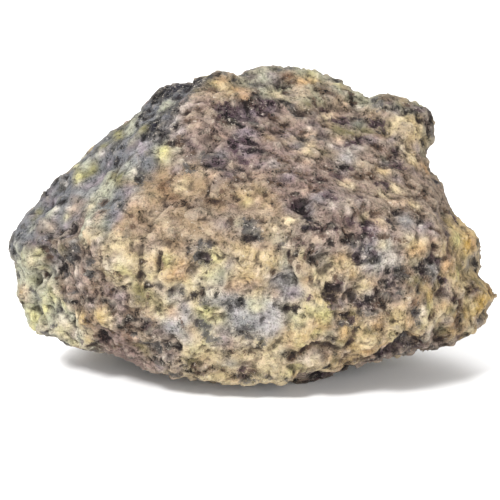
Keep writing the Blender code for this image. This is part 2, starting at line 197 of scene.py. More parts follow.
# name: (colour, rise in mm, share of dark grains, share of pale grains)
MINERALS = {
    "coal": (paint(26, 22, 26), -0.2, 0.45, 0.26),
    "ink": (paint(30, 28, 40), -0.1, 0.40, 0.26),
    "graphite": (paint(78, 77, 76), -0.05, 0.30, 0.28),
    "plum": (paint(74, 58, 65), -0.15, 0.45, 0.24),
    "umber": (paint(82, 65, 53), -0.2, 0.45, 0.18),
    "bark": (paint(112, 92, 75), -0.05, 0.30, 0.08),
    "rust": (paint(128, 88, 60), 0.0, 0.20, 0.06),
    "olive": (paint(116, 110, 76), 0.0, 0.20, 0.08),
    "moss": (paint(132, 128, 80), 0.05, 0.15, 0.10),
    "lemon": (paint(195, 189, 134), 0.2, 0.08, 0.12),
    "sage": (paint(146, 144, 124), 0.0, 0.14, 0.14),
    "mint": (paint(168, 169, 151), 0.0, 0.12, 0.16),
    "teal": (paint(109, 116, 106), 0.0, 0.14, 0.10),
    "slate": (paint(113, 115, 120), 0.0, 0.20, 0.12),
    "steel": (paint(140, 141, 142), 0.0, 0.16, 0.14),
    "ice": (paint(172, 169, 168), 0.1, 0.12, 0.18),
    "mauve": (paint(112, 99, 103), 0.0, 0.18, 0.12),
    "lilac": (paint(153, 142, 148), 0.05, 0.12, 0.14),
    "taupe": (paint(138, 124, 113), 0.0, 0.20, 0.12),
    "fawn": (paint(151, 135, 120), 0.0, 0.16, 0.12),
    "rose": (paint(152, 133, 124), 0.05, 0.14, 0.14),
    "tan": (paint(158, 137, 110), 0.1, 0.12, 0.12),
    "sand": (paint(172, 156, 134), 0.15, 0.10, 0.14),
    "honey": (paint(189, 168, 126), 0.35, 0.08, 0.12),
    "gold": (paint(194, 161, 82), 0.35, 0.06, 0.06),
    "butter": (paint(201, 186, 152), 0.3, 0.06, 0.12),
    "apricot": (paint(195, 159, 116), 0.2, 0.08, 0.10),
    "peach": (paint(192, 167, 143), 0.15, 0.08, 0.12),
    "chalk": (paint(202, 193, 181), 0.15, 0.06, 0.18),
}
print(len(MINERALS), "minerals")

# %% [markdown]
# ## Broad grounds
# Seen from across a room the stone has only a few tones: rose, fawn and taupe on the upper face, a tan plate
# on its left, cool grey on the left end, butter and honey in the lower band. Each ground is named by its
# places in the picture and how far it reaches there, and they run into each other softly.

# %% Grounds, as (column, row, reach) in the picture
GROUNDS = {
    "graphite": [(158, 97, 9), (178, 92, 10), (200, 82, 8), (157, 127, 12), (145, 112, 9), (170, 112, 10),
                 (100, 245, 6), (66, 250, 9)],
    "plum": [(318, 375, 7), (345, 370, 7), (385, 361, 6), (430, 350, 5), (280, 165, 9), (240, 180, 8),
             (330, 165, 8), (235, 112, 14), (262, 104, 10), (215, 163, 8), (250, 138, 10), (200, 130, 10),
             (300, 210, 9)],
    "rose": [(205, 122, 26), (262, 150, 30), (350, 205, 20), (300, 185, 24), (120, 345, 14)],
    "fawn": [(325, 150, 32), (385, 190, 30), (428, 225, 22)],
    "tan": [(188, 180, 22), (150, 205, 22), (205, 215, 28), (255, 205, 18), (128, 222, 12), (225, 90, 14)],
    "taupe": [(300, 232, 18), (386, 285, 18), (330, 268, 14), (245, 230, 12), (80, 285, 22), (108, 308, 18),
              (150, 345, 18), (178, 130, 16), (340, 120, 18), (60, 240, 14), (410, 265, 16), (410, 345, 22)],
    "slate": [(60, 208, 20), (36, 232, 18), (140, 150, 16), (150, 112, 14), (88, 190, 16), (115, 205, 14),
              (110, 150, 14), (175, 95, 12)],
    "mint": [(98, 190, 12), (92, 222, 12), (34, 268, 14), (30, 305, 18), (58, 328, 16), (165, 106, 8)],
    "butter": [(108, 248, 14), (135, 262, 18), (205, 345, 18), (240, 366, 22), (290, 362, 16), (188, 285, 14),
               (160, 300, 14)],
    "honey": [(255, 265, 20), (310, 328, 22), (350, 338, 18), (385, 332, 18), (425, 318, 22), (462, 305, 18),
              (464, 242, 14), (175, 265, 12), (404, 125, 12)],
    "sage": [(262, 80, 12), (300, 86, 14), (352, 98, 10), (222, 262, 12), (210, 322, 14), (395, 108, 12)],
    "ice": [(285, 285, 14), (272, 318, 12), (238, 318, 14), (178, 318, 12), (386, 256, 12)],
}
print(len(GROUNDS), "grounds in", sum(len(places) for places in GROUNDS.values()), "places")

# %% [markdown]
# ## Patches of one mineral
# On the ground lie patches with a clear edge, one to a few millimetres across: lumps of yellow feldspar,
# blue-grey quartz, green epidote and black pyroxene. No two are alike, so the plan lists them one by one.
# Each patch has the place, half width, half height and tilt that it shows in the picture. When they are laid,
# large ones go first and small ones over them.

# %% The plan of patches, each as (column, row, half width, half height, tilt in degrees)
PATCHES = {name: [] for name in MINERALS}


def lay(mineral, *places):
    """Add patches of one mineral to the plan. A patch that isn't tilted leaves its tilt out."""
    PATCHES[mineral].extend((*place, 0) if len(place) == 4 else place for place in places)


def count():
    """How many patches the plan has so far."""
    return sum(len(places) for places in PATCHES.values())


print("the plan is empty:", count(), "patches")


# %% Patches of the dark crust and the left of the crown
lay("coal", (156, 96, 5, 6, 40), (163, 93, 7, 4, 20), (187, 88, 7, 5), (180, 98, 6, 3), (197, 81, 8, 4, 20),
    (206, 77, 6, 2.5, 15), (211, 76, 3, 2), (221, 74, 4, 1.8), (142, 115, 2.2, 6, -10),
    (147, 110, 5, 1.8, 10), (152, 115, 3, 2.5, 40), (144, 138, 5, 4.5, 20), (137, 126, 3, 4, 30),
    (121, 129, 4, 1.3), (174, 142, 6, 2), (170, 144, 2, 2), (175, 125, 4, 2.2, 40), (121, 148, 4, 1.5),
    (232, 121, 6, 3.5, -30), (239, 126, 7, 2.5, -25), (248, 107, 3, 6, 30), (227, 116, 3, 5),
    (262, 131, 3, 2), (255, 143, 5, 2, -20), (279, 86, 3, 1.5))
lay("ink", (171, 92, 6, 4, 20), (178, 88, 8, 4), (157, 126, 6, 7, -20), (168, 96, 5, 3), (192, 95, 4, 4),
    (161, 132, 4, 3))
lay("graphite", (160, 100, 6, 4, 20), (163, 113, 8, 2.5, -5), (176, 104, 5, 4), (176, 112, 5, 4),
    (147, 117, 5, 5), (153, 135, 6, 5), (162, 137, 8, 4, 10), (168, 133, 6, 3), (189, 97, 5, 4),
    (118, 143, 8, 3, 20), (113, 147, 5, 2), (225, 76, 3, 1.5, -20), (234, 79, 4, 1.5), (253, 124, 5, 4, -30),
    (236, 136, 4, 2, -20), (253, 85, 5, 4, -20), (244, 74, 5, 3, 30))
lay("slate", (155, 107, 4, 5), (147, 106, 5, 7, -40), (165, 118, 5, 4, 30), (166, 127, 6, 4, 30),
    (165, 141, 6, 1.8, 20), (152, 146, 6, 2.5, 20), (179, 127, 4, 2, 30))
lay("mint", (167, 105, 8, 5, -10), (133, 121, 6, 4, 35), (130, 128, 4, 8, -10), (138, 114, 7, 3, 35),
    (158, 146, 4, 3), (176, 149, 6, 3), (264, 77, 12, 5, 5), (262, 90, 6, 2.5), (235, 83, 8, 2, -10))
lay("ice", (176, 119, 8, 3, 30), (150, 141, 12, 1.1, 24), (181, 131, 5, 2, 20))
lay("chalk", (184, 106, 5, 5), (191, 103, 4, 2.5))
lay("olive", (126, 121, 6, 2.5, 35), (142, 130, 6.5, 9, -15), (196, 91, 5, 2.5), (211, 88, 5, 2.5))
lay("moss", (144, 128, 3.5, 6, -20), (118, 132, 8, 3.5, 20), (103, 144, 5, 4, 20), (212, 82, 5, 4),
    (120, 137, 6, 2.5, 10))
lay("sage", (140, 131, 2.5, 3.5), (131, 141, 5, 3, 20), (100, 140, 3, 2), (226, 124, 7, 4, -35),
    (245, 83, 7, 3, -20), (258, 73, 6, 3), (266, 96, 6, 3))
lay("lemon", (165, 148, 7, 5, 20))
lay("lilac", (172, 136, 5, 2.5, 30), (140, 146, 5, 3, 30), (108, 147, 4, 3), (183, 129, 5, 3, 20),
    (254, 114, 2, 7, 30), (248, 131, 7, 2.5, -30), (240, 133, 6, 3, -30), (256, 136, 5, 4), (270, 74, 6, 3))
lay("mauve", (136, 142, 4, 2.5, 20), (129, 147, 6, 2, 20), (186, 141, 5, 4), (240, 116, 8, 6, -30),
    (248, 119, 6, 5, -30), (241, 108, 5, 4), (268, 100, 8, 4), (270, 106, 6, 6), (274, 83, 6, 3),
    (262, 85, 7, 3.5), (232, 142, 8, 5, -20), (251, 76, 6, 4, 10))
lay("umber", (179, 137, 4, 2.5), (187, 111, 4, 2), (178, 143, 4, 2), (211, 90, 4, 1.4), (190, 121, 5, 1.3, 5),
    (197, 109, 3, 1.6), (252, 103, 3, 6, 20), (256, 91, 4, 2), (257, 129, 4, 1.6, -20),
    (276, 131, 9, 1.3, -5), (271, 117, 1.3, 5, 35), (217, 141, 3, 2), (221, 121, 5, 1.6, -20),
    (213, 129, 1.5, 3, 35))
lay("taupe", (204, 88, 6, 3, 10), (216, 76, 5, 2), (205, 140, 8, 5, -20), (205, 127, 8, 4, -20),
    (222, 145, 6, 3, -20))
lay("sand", (195, 97, 6, 3), (202, 95, 8, 4), (192, 114, 6, 4), (218, 95, 5, 3), (209, 113, 6, 5),
    (225, 99, 8, 4), (190, 126, 5, 4))
lay("rose", (190, 103, 7, 4), (202, 116, 6, 5), (195, 134, 6, 4), (202, 104, 6, 5), (216, 128, 5, 2, -40),
    (207, 107, 4, 4), (190, 142, 7, 5))
lay("peach", (212, 95, 7, 4, 10), (246, 95, 5, 6), (198, 125, 4, 3), (222, 137, 5, 1.8, -20))
lay("butter", (223, 87, 6, 3), (275, 93, 8, 4, -15), (279, 97, 4, 3))
lay("honey", (229, 87, 7, 4), (232, 92, 5, 4), (216, 84, 5, 3))
lay("apricot", (222, 82, 8, 2, 5), (240, 90, 6, 4), (245, 97, 5, 3))
lay("fawn", (234, 105, 5, 3), (266, 122, 6, 5), (232, 134, 5, 5), (199, 137, 5, 4))
lay("bark", (236, 97, 4, 4), (213, 104, 4, 5, -30), (213, 137, 5, 3), (182, 135, 3, 4), (204, 108, 3, 2))
lay("plum", (220, 112, 5, 8, 20), (226, 107, 5, 6), (225, 114, 6, 6), (232, 112, 6, 6), (262, 105, 5, 5),
    (259, 112, 5, 7, 20), (245, 140, 10, 4, -20), (232, 143, 6, 4, -20))
lay("tan", (270, 137, 7, 5), (245, 88, 4, 3))
print(count(), "patches so far")

# %% Patches of the right of the crown
lay("graphite", (277, 68, 4, 1.5), (290, 68, 6, 1.8), (293, 109, 5, 3, -20), (318, 138, 7, 1.4, -5),
    (296, 115, 6, 3))
lay("sage", (305, 72, 9, 3.5, -5), (363, 98, 6, 3, -40), (364, 104, 4, 2), (323, 75, 4, 2, -20))
lay("mint", (314, 75, 7, 4, -10), (337, 88, 6, 5, -20), (357, 93, 5, 3, -40))
lay("lemon", (339, 85, 4, 2), (312, 72, 5, 2, -10))
lay("taupe", (283, 72, 10, 4), (291, 94, 6, 4), (355, 114, 6, 4), (302, 119, 7, 4, -20))
lay("mauve", (275, 76, 6, 4), (315, 114, 6, 4, -20), (311, 122, 7, 4, -20), (320, 133, 8, 4, -20),
    (278, 80, 5, 4), (366, 141, 5, 3), (272, 110, 7, 4, -20))
lay("rust", (289, 77, 5, 4.5))
lay("bark", (284, 79, 3, 4), (297, 80, 1.5, 5, -20), (320, 89, 8, 3, -15), (323, 85, 8, 2, -15),
    (340, 101, 7, 1.6, -35), (348, 109, 5, 3), (367, 113, 3, 4), (315, 86, 5, 1.3, -50),
    (337, 108, 6, 2, -20))
lay("umber", (290, 84, 6, 2.5), (330, 93, 7, 2, -20), (314, 102, 2.2, 4), (350, 95, 4, 5, 20),
    (284, 93, 3, 2.5), (323, 97, 1.6, 3, 30), (301, 112, 5, 2), (309, 111, 6, 1.8), (283, 126, 5, 1.8, 10),
    (284, 132, 9, 1.5, -5), (354, 103, 3, 4), (304, 132, 4, 1), (286, 147, 5, 1.4, -15), (326, 109, 5, 2),
    (276, 119, 3, 3), (325, 125, 4, 2))
lay("coal", (285, 88, 4, 1.4), (337, 80, 5, 1.8), (352, 99, 2.5, 4), (282, 102, 4, 1.3),
    (287, 104, 5, 2.4, -30), (358, 119, 6, 1.3, -5), (366, 121, 6, 1.3, -20), (276, 131, 6, 1.3, -5),
    (300, 138, 5, 2, -20), (304, 140, 3.5, 1.2))
lay("plum", (271, 103, 5, 4), (324, 109, 6, 2.5, -10), (336, 120, 8, 2, -20), (342, 119, 6, 2, -10),
    (351, 142, 6, 2.5, -15), (348, 144, 3, 1.5), (358, 141, 4, 2), (360, 138, 7, 1.6), (345, 122, 5, 2, -20))
lay("apricot", (307, 80, 9, 3.5, 5), (302, 83, 7, 1.8))
lay("honey", (313, 79, 6, 4), (293, 137, 3, 1.5))
lay("sand", (303, 92, 11, 7, -15), (280, 97, 7, 3, 20), (322, 118, 6, 4), (336, 94, 5, 4),
    (335, 101, 6, 3, -30), (330, 83, 4, 3), (285, 142, 7, 5))
lay("peach", (301, 85, 5, 2), (334, 114, 8, 2.5, -15), (338, 96, 5, 4), (307, 135, 7, 2.5, -5),
    (346, 104, 7, 2.5, -30), (338, 140, 6, 3), (314, 133, 4, 3))
lay("olive", (321, 103, 6, 4), (338, 129, 9, 5, -20), (350, 133, 10, 4, -5), (365, 131, 10, 4, 5),
    (299, 137, 6, 3, -20), (308, 104, 5, 4))
lay("tan", (345, 89, 5, 4), (330, 124, 5, 4), (308, 148, 6, 3), (372, 114, 5, 4))
lay("butter", (275, 94, 8, 4, -10), (328, 116, 5, 2.5, -10), (311, 146, 5, 3))
lay("fawn", (296, 104, 8, 5, -20), (282, 122, 6, 3), (292, 120, 6, 4), (345, 92, 4, 3))
lay("rose", (300, 127, 9, 5, -10), (291, 130, 8, 3), (320, 144, 8, 5, -10), (285, 111, 6, 3, -20),
    (320, 112, 5, 2.5), (342, 111, 6, 3, -20))
lay("chalk", (309, 129, 2.5, 2), (359, 106, 5, 1.8, -20), (329, 144, 5, 4))
lay("ice", (352, 145, 4, 1.8, -30), (357, 148, 4, 2))
lay("lilac", (289, 134, 7, 2.5, 10), (294, 148, 5, 3), (340, 147, 7, 3))
lay("slate", (300, 145, 6, 2, 15), (331, 79, 3, 1.3))
lay("teal", (360, 124, 7, 3.5), (353, 124, 4, 3))
print(count(), "patches so far")

# %% Patches of the knob
lay("graphite", (375, 100, 5, 4, 30), (381, 103, 7, 4), (377, 106, 4, 3), (427, 107, 5, 3, -20),
    (432, 131, 2, 7), (428, 150, 4, 3))
lay("bark", (385, 98, 8, 4), (393, 98, 7, 4, -5), (384, 109, 6, 2), (405, 155, 3, 6))
lay("tan", (402, 100, 6, 4, -15), (403, 105, 4, 3), (408, 166, 5, 3), (375, 119, 6, 3), (377, 166, 6, 4))
lay("umber", (407, 104, 3, 2.5), (378, 157, 4, 3), (390, 156, 4, 4), (429, 125, 2, 4), (417, 158, 2, 4, 20),
    (376, 147, 6, 1.8, -10), (372, 163, 3, 2), (392, 165, 4, 2))
lay("coal", (389, 108, 8, 1.4, -8), (400, 109, 6, 1.4, -10), (407, 110, 7, 3, -10), (415, 113, 7, 2.5, -20),
    (432, 119, 2.5, 7), (420, 120, 4, 1.3, -10), (429, 132, 2, 6), (424, 143, 2, 4), (385, 131, 2.5, 2),
    (378, 131, 3, 1.3), (395, 154, 3, 2), (398, 148, 3, 2.5))
lay("plum", (420, 109, 7, 3, -15), (430, 111, 4, 5), (377, 123, 6, 3, -20), (395, 151, 4, 5, 20),
    (400, 165, 6, 4, -20), (393, 158, 5, 5, -20), (373, 125, 4, 2))
lay("mauve", (391, 103, 8, 3, -5), (411, 106, 6, 2.5, -20), (427, 120, 4, 6), (420, 114, 5, 2.5, -20),
    (388, 166, 7, 3, -20), (370, 144, 7, 3, -20))
lay("lilac", (395, 112, 7, 2.5, -5), (398, 138, 8, 3, -5), (392, 141, 6, 4), (418, 148, 4, 6),
    (397, 160, 3, 3), (374, 139, 6, 3, -10))
lay("butter", (400, 118, 9, 4, -5), (394, 124, 6, 6), (412, 124, 8, 6, -20), (393, 132, 4, 4),
    (417, 132, 6, 5), (422, 139, 3, 4), (410, 157, 7, 7), (422, 127, 4, 6))
lay("sand", (403, 124, 6, 4), (401, 131, 7, 4), (410, 131, 6, 4), (404, 142, 6, 4), (410, 146, 6, 4),
    (361, 163, 6, 5), (366, 108, 5, 3))
lay("honey", (422, 122, 4, 3), (413, 164, 6, 3), (384, 171, 6, 3))
lay("mint", (425, 132, 2, 6))
lay("sage", (430, 143, 5, 5), (423, 153, 2.5, 6), (432, 172, 3, 4), (385, 156, 6, 3))
lay("apricot", (422, 165, 5, 2.5), (426, 170, 5, 4, -30))
lay("rust", (381, 135, 5, 2.5))
lay("chalk", (402, 148, 4, 3, -30), (350, 150, 7, 2.5, -10))
lay("ice", (350, 154, 7, 2.5, -30), (346, 160, 7, 3, -35), (379, 159, 3, 1.6))
lay("rose", (379, 112, 6, 3, -20), (386, 114, 5, 3), (382, 150, 6, 3), (370, 157, 4, 2.5))
lay("taupe", (389, 149, 5, 3, -20), (385, 145, 5, 4), (360, 152, 6, 4), (368, 151, 5, 3))
lay("slate", (385, 160, 5, 4), (383, 128, 4, 1.8))
lay("ink", (382, 164, 4, 1.8))
print(count(), "patches so far")

# %% Patches of the upper face, left of the middle
lay("lemon", (163, 153, 5, 8), (249, 202, 3, 2))
lay("mint", (166, 162, 4, 5), (180, 161, 9, 4))
lay("butter", (173, 150, 7, 3, 10), (183, 181, 5, 4), (181, 190, 6, 3), (165, 225, 6, 4), (231, 165, 3, 5))
lay("taupe", (176, 156, 6, 4), (182, 147, 6, 3), (210, 148, 8, 3, -20), (217, 183, 8, 8), (195, 203, 8, 3),
    (220, 218, 6, 5), (200, 207, 5, 2), (227, 216, 5, 5), (202, 199, 5, 3))
lay("coal", (194, 167, 2.5, 2), (209, 166, 2.5, 2), (222, 169, 5, 1.4, -10), (240, 168, 4.5, 2, -25),
    (252, 150, 7, 1.8), (208, 193, 2, 3))
lay("graphite", (187, 165, 4, 2.5), (189, 170, 6, 2), (204, 155, 5, 5), (250, 225, 9, 5))
lay("teal", (200, 157, 3, 4), (213, 156, 4, 3))
lay("mauve", (190, 158, 7, 3), (190, 149, 8, 3.5, -20), (207, 161, 8, 2, -5), (217, 166, 9, 3.5, -5),
    (228, 162, 6, 3, -20), (229, 149, 6, 2), (235, 172, 3, 4), (228, 176, 6, 4))
lay("umber", (193, 153, 2, 2), (236, 178, 2, 3), (241, 179, 4, 1), (232, 187, 5, 1, -30),
    (172, 178, 2, 6, -30), (209, 187, 2, 4), (222, 192, 5, 1.2, 15), (236, 197, 4, 1.2, -40),
    (213, 200, 7, 2.5), (231, 221, 1.5, 4), (184, 204, 3, 4))
lay("lilac", (176, 170, 6, 3), (217, 151, 5, 2, -20), (246, 153, 7, 3.5, -10), (224, 226, 7, 3),
    (243, 146, 6, 2))
lay("steel", (221, 156, 7, 5))
lay("plum", (215, 158, 5, 2, -25), (236, 153, 7, 2, -25), (243, 160, 6, 2, -30), (207, 163, 5, 1.4),
    (240, 147, 8, 2, -20))
lay("rose", (236, 160, 5, 2.5, -20), (252, 161, 6, 3), (232, 206, 5, 7), (257, 204, 5, 3))
lay("sand", (243, 175, 6, 4), (238, 184, 7, 4), (187, 193, 6, 4), (201, 173, 4, 6), (252, 191, 4, 4),
    (168, 219, 9, 6), (205, 213, 10, 6, 10), (175, 184, 3, 4))
lay("peach", (255, 175, 6, 4), (213, 176, 6, 2.5))
lay("tan", (190, 177, 8, 5), (197, 183, 8, 9), (195, 192, 7, 5), (252, 182, 8, 3), (180, 216, 8, 6),
    (185, 224, 8, 4), (240, 204, 3, 5), (164, 178, 5, 5))
lay("bark", (207, 179, 1.5, 6, 5), (165, 199, 5, 3), (225, 201, 4, 5), (190, 209, 5, 2, 20), (177, 196, 4, 2))
lay("rust", (165, 187, 5, 6), (172, 198, 5, 3.5, 10), (257, 195, 4, 5))
lay("honey", (246, 196, 7, 6))
lay("fawn", (196, 164, 4, 3), (193, 216, 8, 6), (177, 206, 7, 4), (230, 196, 6, 4), (215, 210, 6, 5),
    (238, 216, 6, 5), (246, 212, 8, 4), (210, 222, 7, 4), (258, 215, 6, 4), (167, 207, 7, 5))
lay("chalk", (208, 172, 3, 1))
lay("sage", (240, 224, 6, 4))
print(count(), "patches so far")

# %% Patches of the upper face, right of the middle
lay("olive", (262, 192, 4, 4), (310, 150, 7, 4), (324, 152, 8, 3), (363, 219, 5, 5))
lay("butter", (304, 150, 5, 4), (395, 189, 6, 4), (343, 185, 5, 4), (349, 204, 6, 3), (385, 195, 6, 4),
    (352, 187, 6, 4), (367, 215, 5, 3), (415, 206, 7, 4), (288, 222, 7, 6))
lay("mauve", (262, 152, 8, 3, -20), (283, 178, 7, 4, -20), (258, 150, 5, 3), (320, 182, 7, 6),
    (345, 177, 8, 3, -10), (329, 193, 6, 3), (412, 172, 8, 3, -20), (450, 212, 5, 3, -40))
lay("coal", (263, 152, 5, 1.5, -25), (303, 201, 3.5, 2), (296, 195, 4, 2, -20), (302, 209, 5, 3, -30),
    (309, 217, 6, 2.5, -35), (258, 168, 3, 1.5, 20), (299, 213, 4, 4), (317, 222, 4, 1.5, -20),
    (343, 166, 6, 2.5), (338, 173, 4, 2, -20), (363, 233, 4, 3), (365, 224, 4, 2.5), (389, 222, 3, 4, -30),
    (332, 224, 4, 3), (393, 228, 3, 2, -40), (420, 222, 4, 1.8), (346, 239, 5, 2.5), (435, 181, 4, 3))
lay("plum", (294, 206, 4, 5), (305, 213, 5, 5), (347, 168, 6, 4), (317, 180, 4, 5), (384, 184, 4, 3.5),
    (387, 188, 3, 2.5), (368, 223, 5, 4), (360, 197, 4, 2), (352, 222, 4, 3), (378, 183, 2.5, 2.5),
    (332, 197, 6, 2, -10), (336, 177, 5, 2, -10), (455, 217, 4, 5, -40), (388, 221, 3, 3))
lay("ink", (308, 219, 6, 2.5, -30), (307, 227, 4, 2.5), (394, 213, 4.5, 3, 20), (438, 181, 5, 3, -20))
lay("umber", (270, 153, 7, 1.5, -20), (284, 160, 5, 1.5, -20), (297, 160, 5, 1.5, -20), (272, 182, 2, 3, 30),
    (279, 184, 5, 1.8, -20), (312, 175, 5, 1.5, -15), (310, 184, 1.8, 8), (265, 195, 3, 2),
    (330, 170, 9, 1.5, -20), (327, 180, 5, 2, -30), (318, 191, 4, 2), (280, 172, 8, 1.5), (262, 222, 3, 3),
    (273, 204, 1.5, 5, 20), (287, 197, 6, 1.2), (360, 175, 8, 3), (372, 175, 5, 3), (376, 213, 5, 1.8, 10),
    (360, 191, 5, 1.5), (357, 197, 1.5, 4), (363, 205, 2, 5, -30), (415, 197, 10, 1.5, -5),
    (408, 210, 8, 1.3, -5), (410, 186, 4, 2, -20), (378, 195, 2, 2), (355, 213, 2, 4), (425, 193, 6, 4, -10),
    (432, 197, 5, 2), (385, 236, 5, 1.5, 10), (418, 214, 4, 1.5), (446, 211, 4, 1, -30),
    (300, 172, 5, 1.5, -20))
lay("bark", (268, 160, 8, 3, -20), (292, 150, 8, 2), (320, 160, 6, 3), (323, 187, 5, 4), (304, 177, 5, 4),
    (319, 207, 4, 4), (328, 214, 4, 4), (343, 213, 2, 7), (272, 220, 6, 3), (400, 170, 5, 3),
    (445, 222, 5, 3, -30), (395, 199, 7, 2.5), (348, 228, 7, 4), (340, 235, 6, 4), (408, 177, 6, 3, -20),
    (434, 208, 8, 3, -20), (412, 215, 8, 3), (425, 218, 8, 2.5), (425, 188, 6, 2, -20))
lay("fawn", (282, 165, 8, 4), (270, 165, 6, 4), (290, 190, 7, 4), (277, 199, 6, 5), (336, 190, 6, 4),
    (372, 185, 6, 5), (374, 205, 6, 5), (425, 205, 6, 6), (440, 198, 7, 7), (352, 195, 5, 3),
    (436, 190, 6, 4))
lay("rose", (290, 155, 7, 3), (312, 165, 7, 4), (297, 180, 6, 4), (327, 172, 7, 3, -20), (325, 165, 5, 3),
    (420, 178, 6, 4), (298, 192, 5, 4), (365, 186, 5, 3), (412, 228, 7, 4), (430, 232, 5, 4),
    (388, 231, 6, 3, -20), (281, 228, 4, 3))
lay("peach", (305, 162, 7, 4), (298, 151, 4, 4), (307, 190, 4, 6), (262, 176, 6, 4), (259, 201, 3, 4),
    (273, 208, 7, 4), (348, 180, 8, 3), (402, 203, 6, 3), (372, 219, 6, 2), (392, 203, 5, 4))
lay("sand", (265, 184, 5, 4), (275, 175, 5, 3), (260, 212, 5, 5), (268, 216, 6, 4), (403, 192, 10, 4, -5),
    (360, 208, 5, 3), (440, 226, 8, 3))
lay("tan", (263, 186, 5, 4), (272, 196, 6, 5), (280, 206, 4, 5), (415, 168, 5, 2))
lay("honey", (381, 221, 5, 3), (410, 203, 5, 2.5), (268, 206, 4, 3), (393, 185, 4, 2), (376, 221, 4, 2))
lay("chalk", (333, 204, 5, 4), (345, 200, 5, 2.5), (349, 210, 4, 6), (351, 189, 3, 2), (300, 167, 3, 2))
lay("steel", (308, 205, 5, 5), (320, 199, 6, 4), (405, 222, 8, 4, -20), (355, 158, 4, 3), (310, 213, 4, 2.5))
lay("ice", (345, 157, 6, 2.5, -30), (340, 162, 4, 2, -20), (274, 163, 4, 3), (421, 226, 6, 2.5),
    (398, 217, 3, 2))
lay("lilac", (342, 172, 5, 2.5), (362, 203, 5, 4), (397, 180, 7, 3), (262, 165, 5, 3), (318, 194, 6, 2.5),
    (290, 175, 6, 3), (375, 229, 3, 4), (369, 236, 4, 5), (437, 216, 7, 2.5, -20), (288, 210, 2, 5))
lay("slate", (409, 227, 5, 2, -40), (305, 204, 3, 3), (405, 214, 5, 2, -10), (443, 214, 5, 2, -20))
lay("taupe", (270, 178, 6, 4), (300, 155, 7, 3), (291, 170, 7, 4), (355, 182, 5, 3), (387, 178, 6, 4),
    (432, 186, 8, 3), (350, 232, 5, 3), (447, 230, 6, 4), (420, 198, 6, 2.5), (405, 165, 5, 3),
    (343, 192, 6, 2.5), (396, 208, 7, 2))
print(count(), "patches so far")

# %% Patches of the left face and the tan plate
lay("moss", (77, 170, 4, 2.5), (91, 168, 6, 7, 20), (118, 177, 5, 7), (104, 144, 4, 3), (85, 176, 4, 3),
    (38, 212, 5, 3, -20), (120, 136, 6, 3))
lay("lemon", (77, 166, 5, 3), (78, 178, 7, 4), (38, 253, 5, 5), (66, 217, 2, 4), (22, 256, 4, 6))
lay("olive", (92, 173, 4, 2), (112, 174, 8, 8), (36, 219, 5, 3), (28, 251, 5, 3), (118, 139, 8, 4),
    (118, 183, 5, 3), (62, 249, 5, 4), (152, 195, 3, 2.5), (127, 226, 2, 2), (143, 254, 4, 2))
lay("mint", (86, 165, 4, 8, -40), (109, 188, 10, 3, -10), (110, 181, 6, 3), (131, 173, 5, 8),
    (127, 165, 4, 5), (108, 197, 8, 2.5, 10), (50, 212, 7, 5, -30), (80, 156, 5, 2, 30), (98, 155, 4, 3),
    (33, 228, 6, 3), (17, 246, 4, 3), (143, 190, 4, 4))
lay("lilac", (108, 164, 4, 3.5), (100, 178, 6, 5, 20), (118, 218, 4, 3), (53, 200, 6, 4), (64, 225, 4, 3),
    (118, 213, 4, 3, 30), (143, 150, 9, 2, 35), (128, 190, 3, 8, 20), (32, 215, 3, 3), (56, 215, 3, 4),
    (92, 185, 8, 3, 10), (68, 236, 5, 4))
lay("coal", (115, 161, 5, 2.5, 10), (57, 182, 4, 2, 40), (46, 193, 3, 2.5, 40), (32, 212, 3, 2.5, 40),
    (9, 246, 2, 3), (62, 202, 5, 2.5, 20), (74, 228, 3, 5, -10), (73, 233, 4, 3), (50, 238, 5, 2, -20),
    (45, 249, 5, 1.6, -15), (54, 251, 4, 2))
lay("graphite", (140, 176, 5, 7), (148, 154, 6, 2, 35), (130, 158, 4, 4, 20), (58, 204, 4, 2.5),
    (13, 252, 3, 5), (98, 197, 4, 1.5, 10), (12, 239, 4, 5), (24, 226, 3, 3, 30), (19, 239, 2.5, 2),
    (115, 200, 5, 2, 30), (67, 176, 4, 3, 30), (62, 187, 5, 4, 20), (120, 206, 4, 6, 20), (138, 184, 4, 2),
    (112, 150, 4, 3), (62, 236, 5, 2.5), (110, 217, 2.5, 1.6, 20), (97, 148, 2, 4, -30))
lay("slate", (118, 208, 5, 8, 30), (124, 200, 3, 9, 20), (115, 221, 6, 3), (112, 156, 6, 3), (60, 229, 6, 3),
    (150, 180, 3, 5), (140, 165, 4, 4))
lay("steel", (135, 162, 4, 5), (95, 190, 8, 3), (14, 244, 4, 6), (84, 197, 8, 3), (68, 206, 5, 2),
    (122, 168, 2, 6), (134, 190, 5, 4), (135, 151, 5, 3, 35), (52, 193, 5, 3), (72, 241, 6, 3),
    (80, 193, 5, 3), (110, 227, 3, 5), (28, 234, 4, 3))
lay("teal", (106, 226, 2.5, 9, -5), (105, 235, 3, 4), (145, 173, 4, 4), (106, 210, 3, 4))
lay("chalk", (102, 153, 4, 3), (66, 183, 5, 2.5), (78, 185, 6, 1.6), (98, 239, 3, 2.5), (70, 207, 4, 2),
    (135, 172, 3, 7), (88, 223, 3, 5), (57, 209, 4, 2), (135, 198, 4, 2, 30), (157, 251, 4, 2))
lay("peach", (134, 205, 5, 4, 30), (118, 230, 4, 5), (72, 209, 4, 2), (160, 228, 3, 3), (170, 250, 8, 3),
    (143, 205, 6, 4, 20))
lay("sand", (98, 216, 5, 6), (48, 226, 10, 1.8, -45), (88, 209, 8, 3), (93, 228, 7, 6), (108, 240, 6, 6),
    (140, 200, 8, 4, 30), (155, 216, 8, 5), (172, 230, 7, 5), (150, 235, 6, 5), (185, 232, 7, 5),
    (133, 232, 3, 3), (198, 240, 8, 4), (210, 234, 8, 5))
lay("butter", (101, 233, 4, 5), (113, 247, 6, 6), (92, 206, 6, 2), (116, 239, 4, 4))
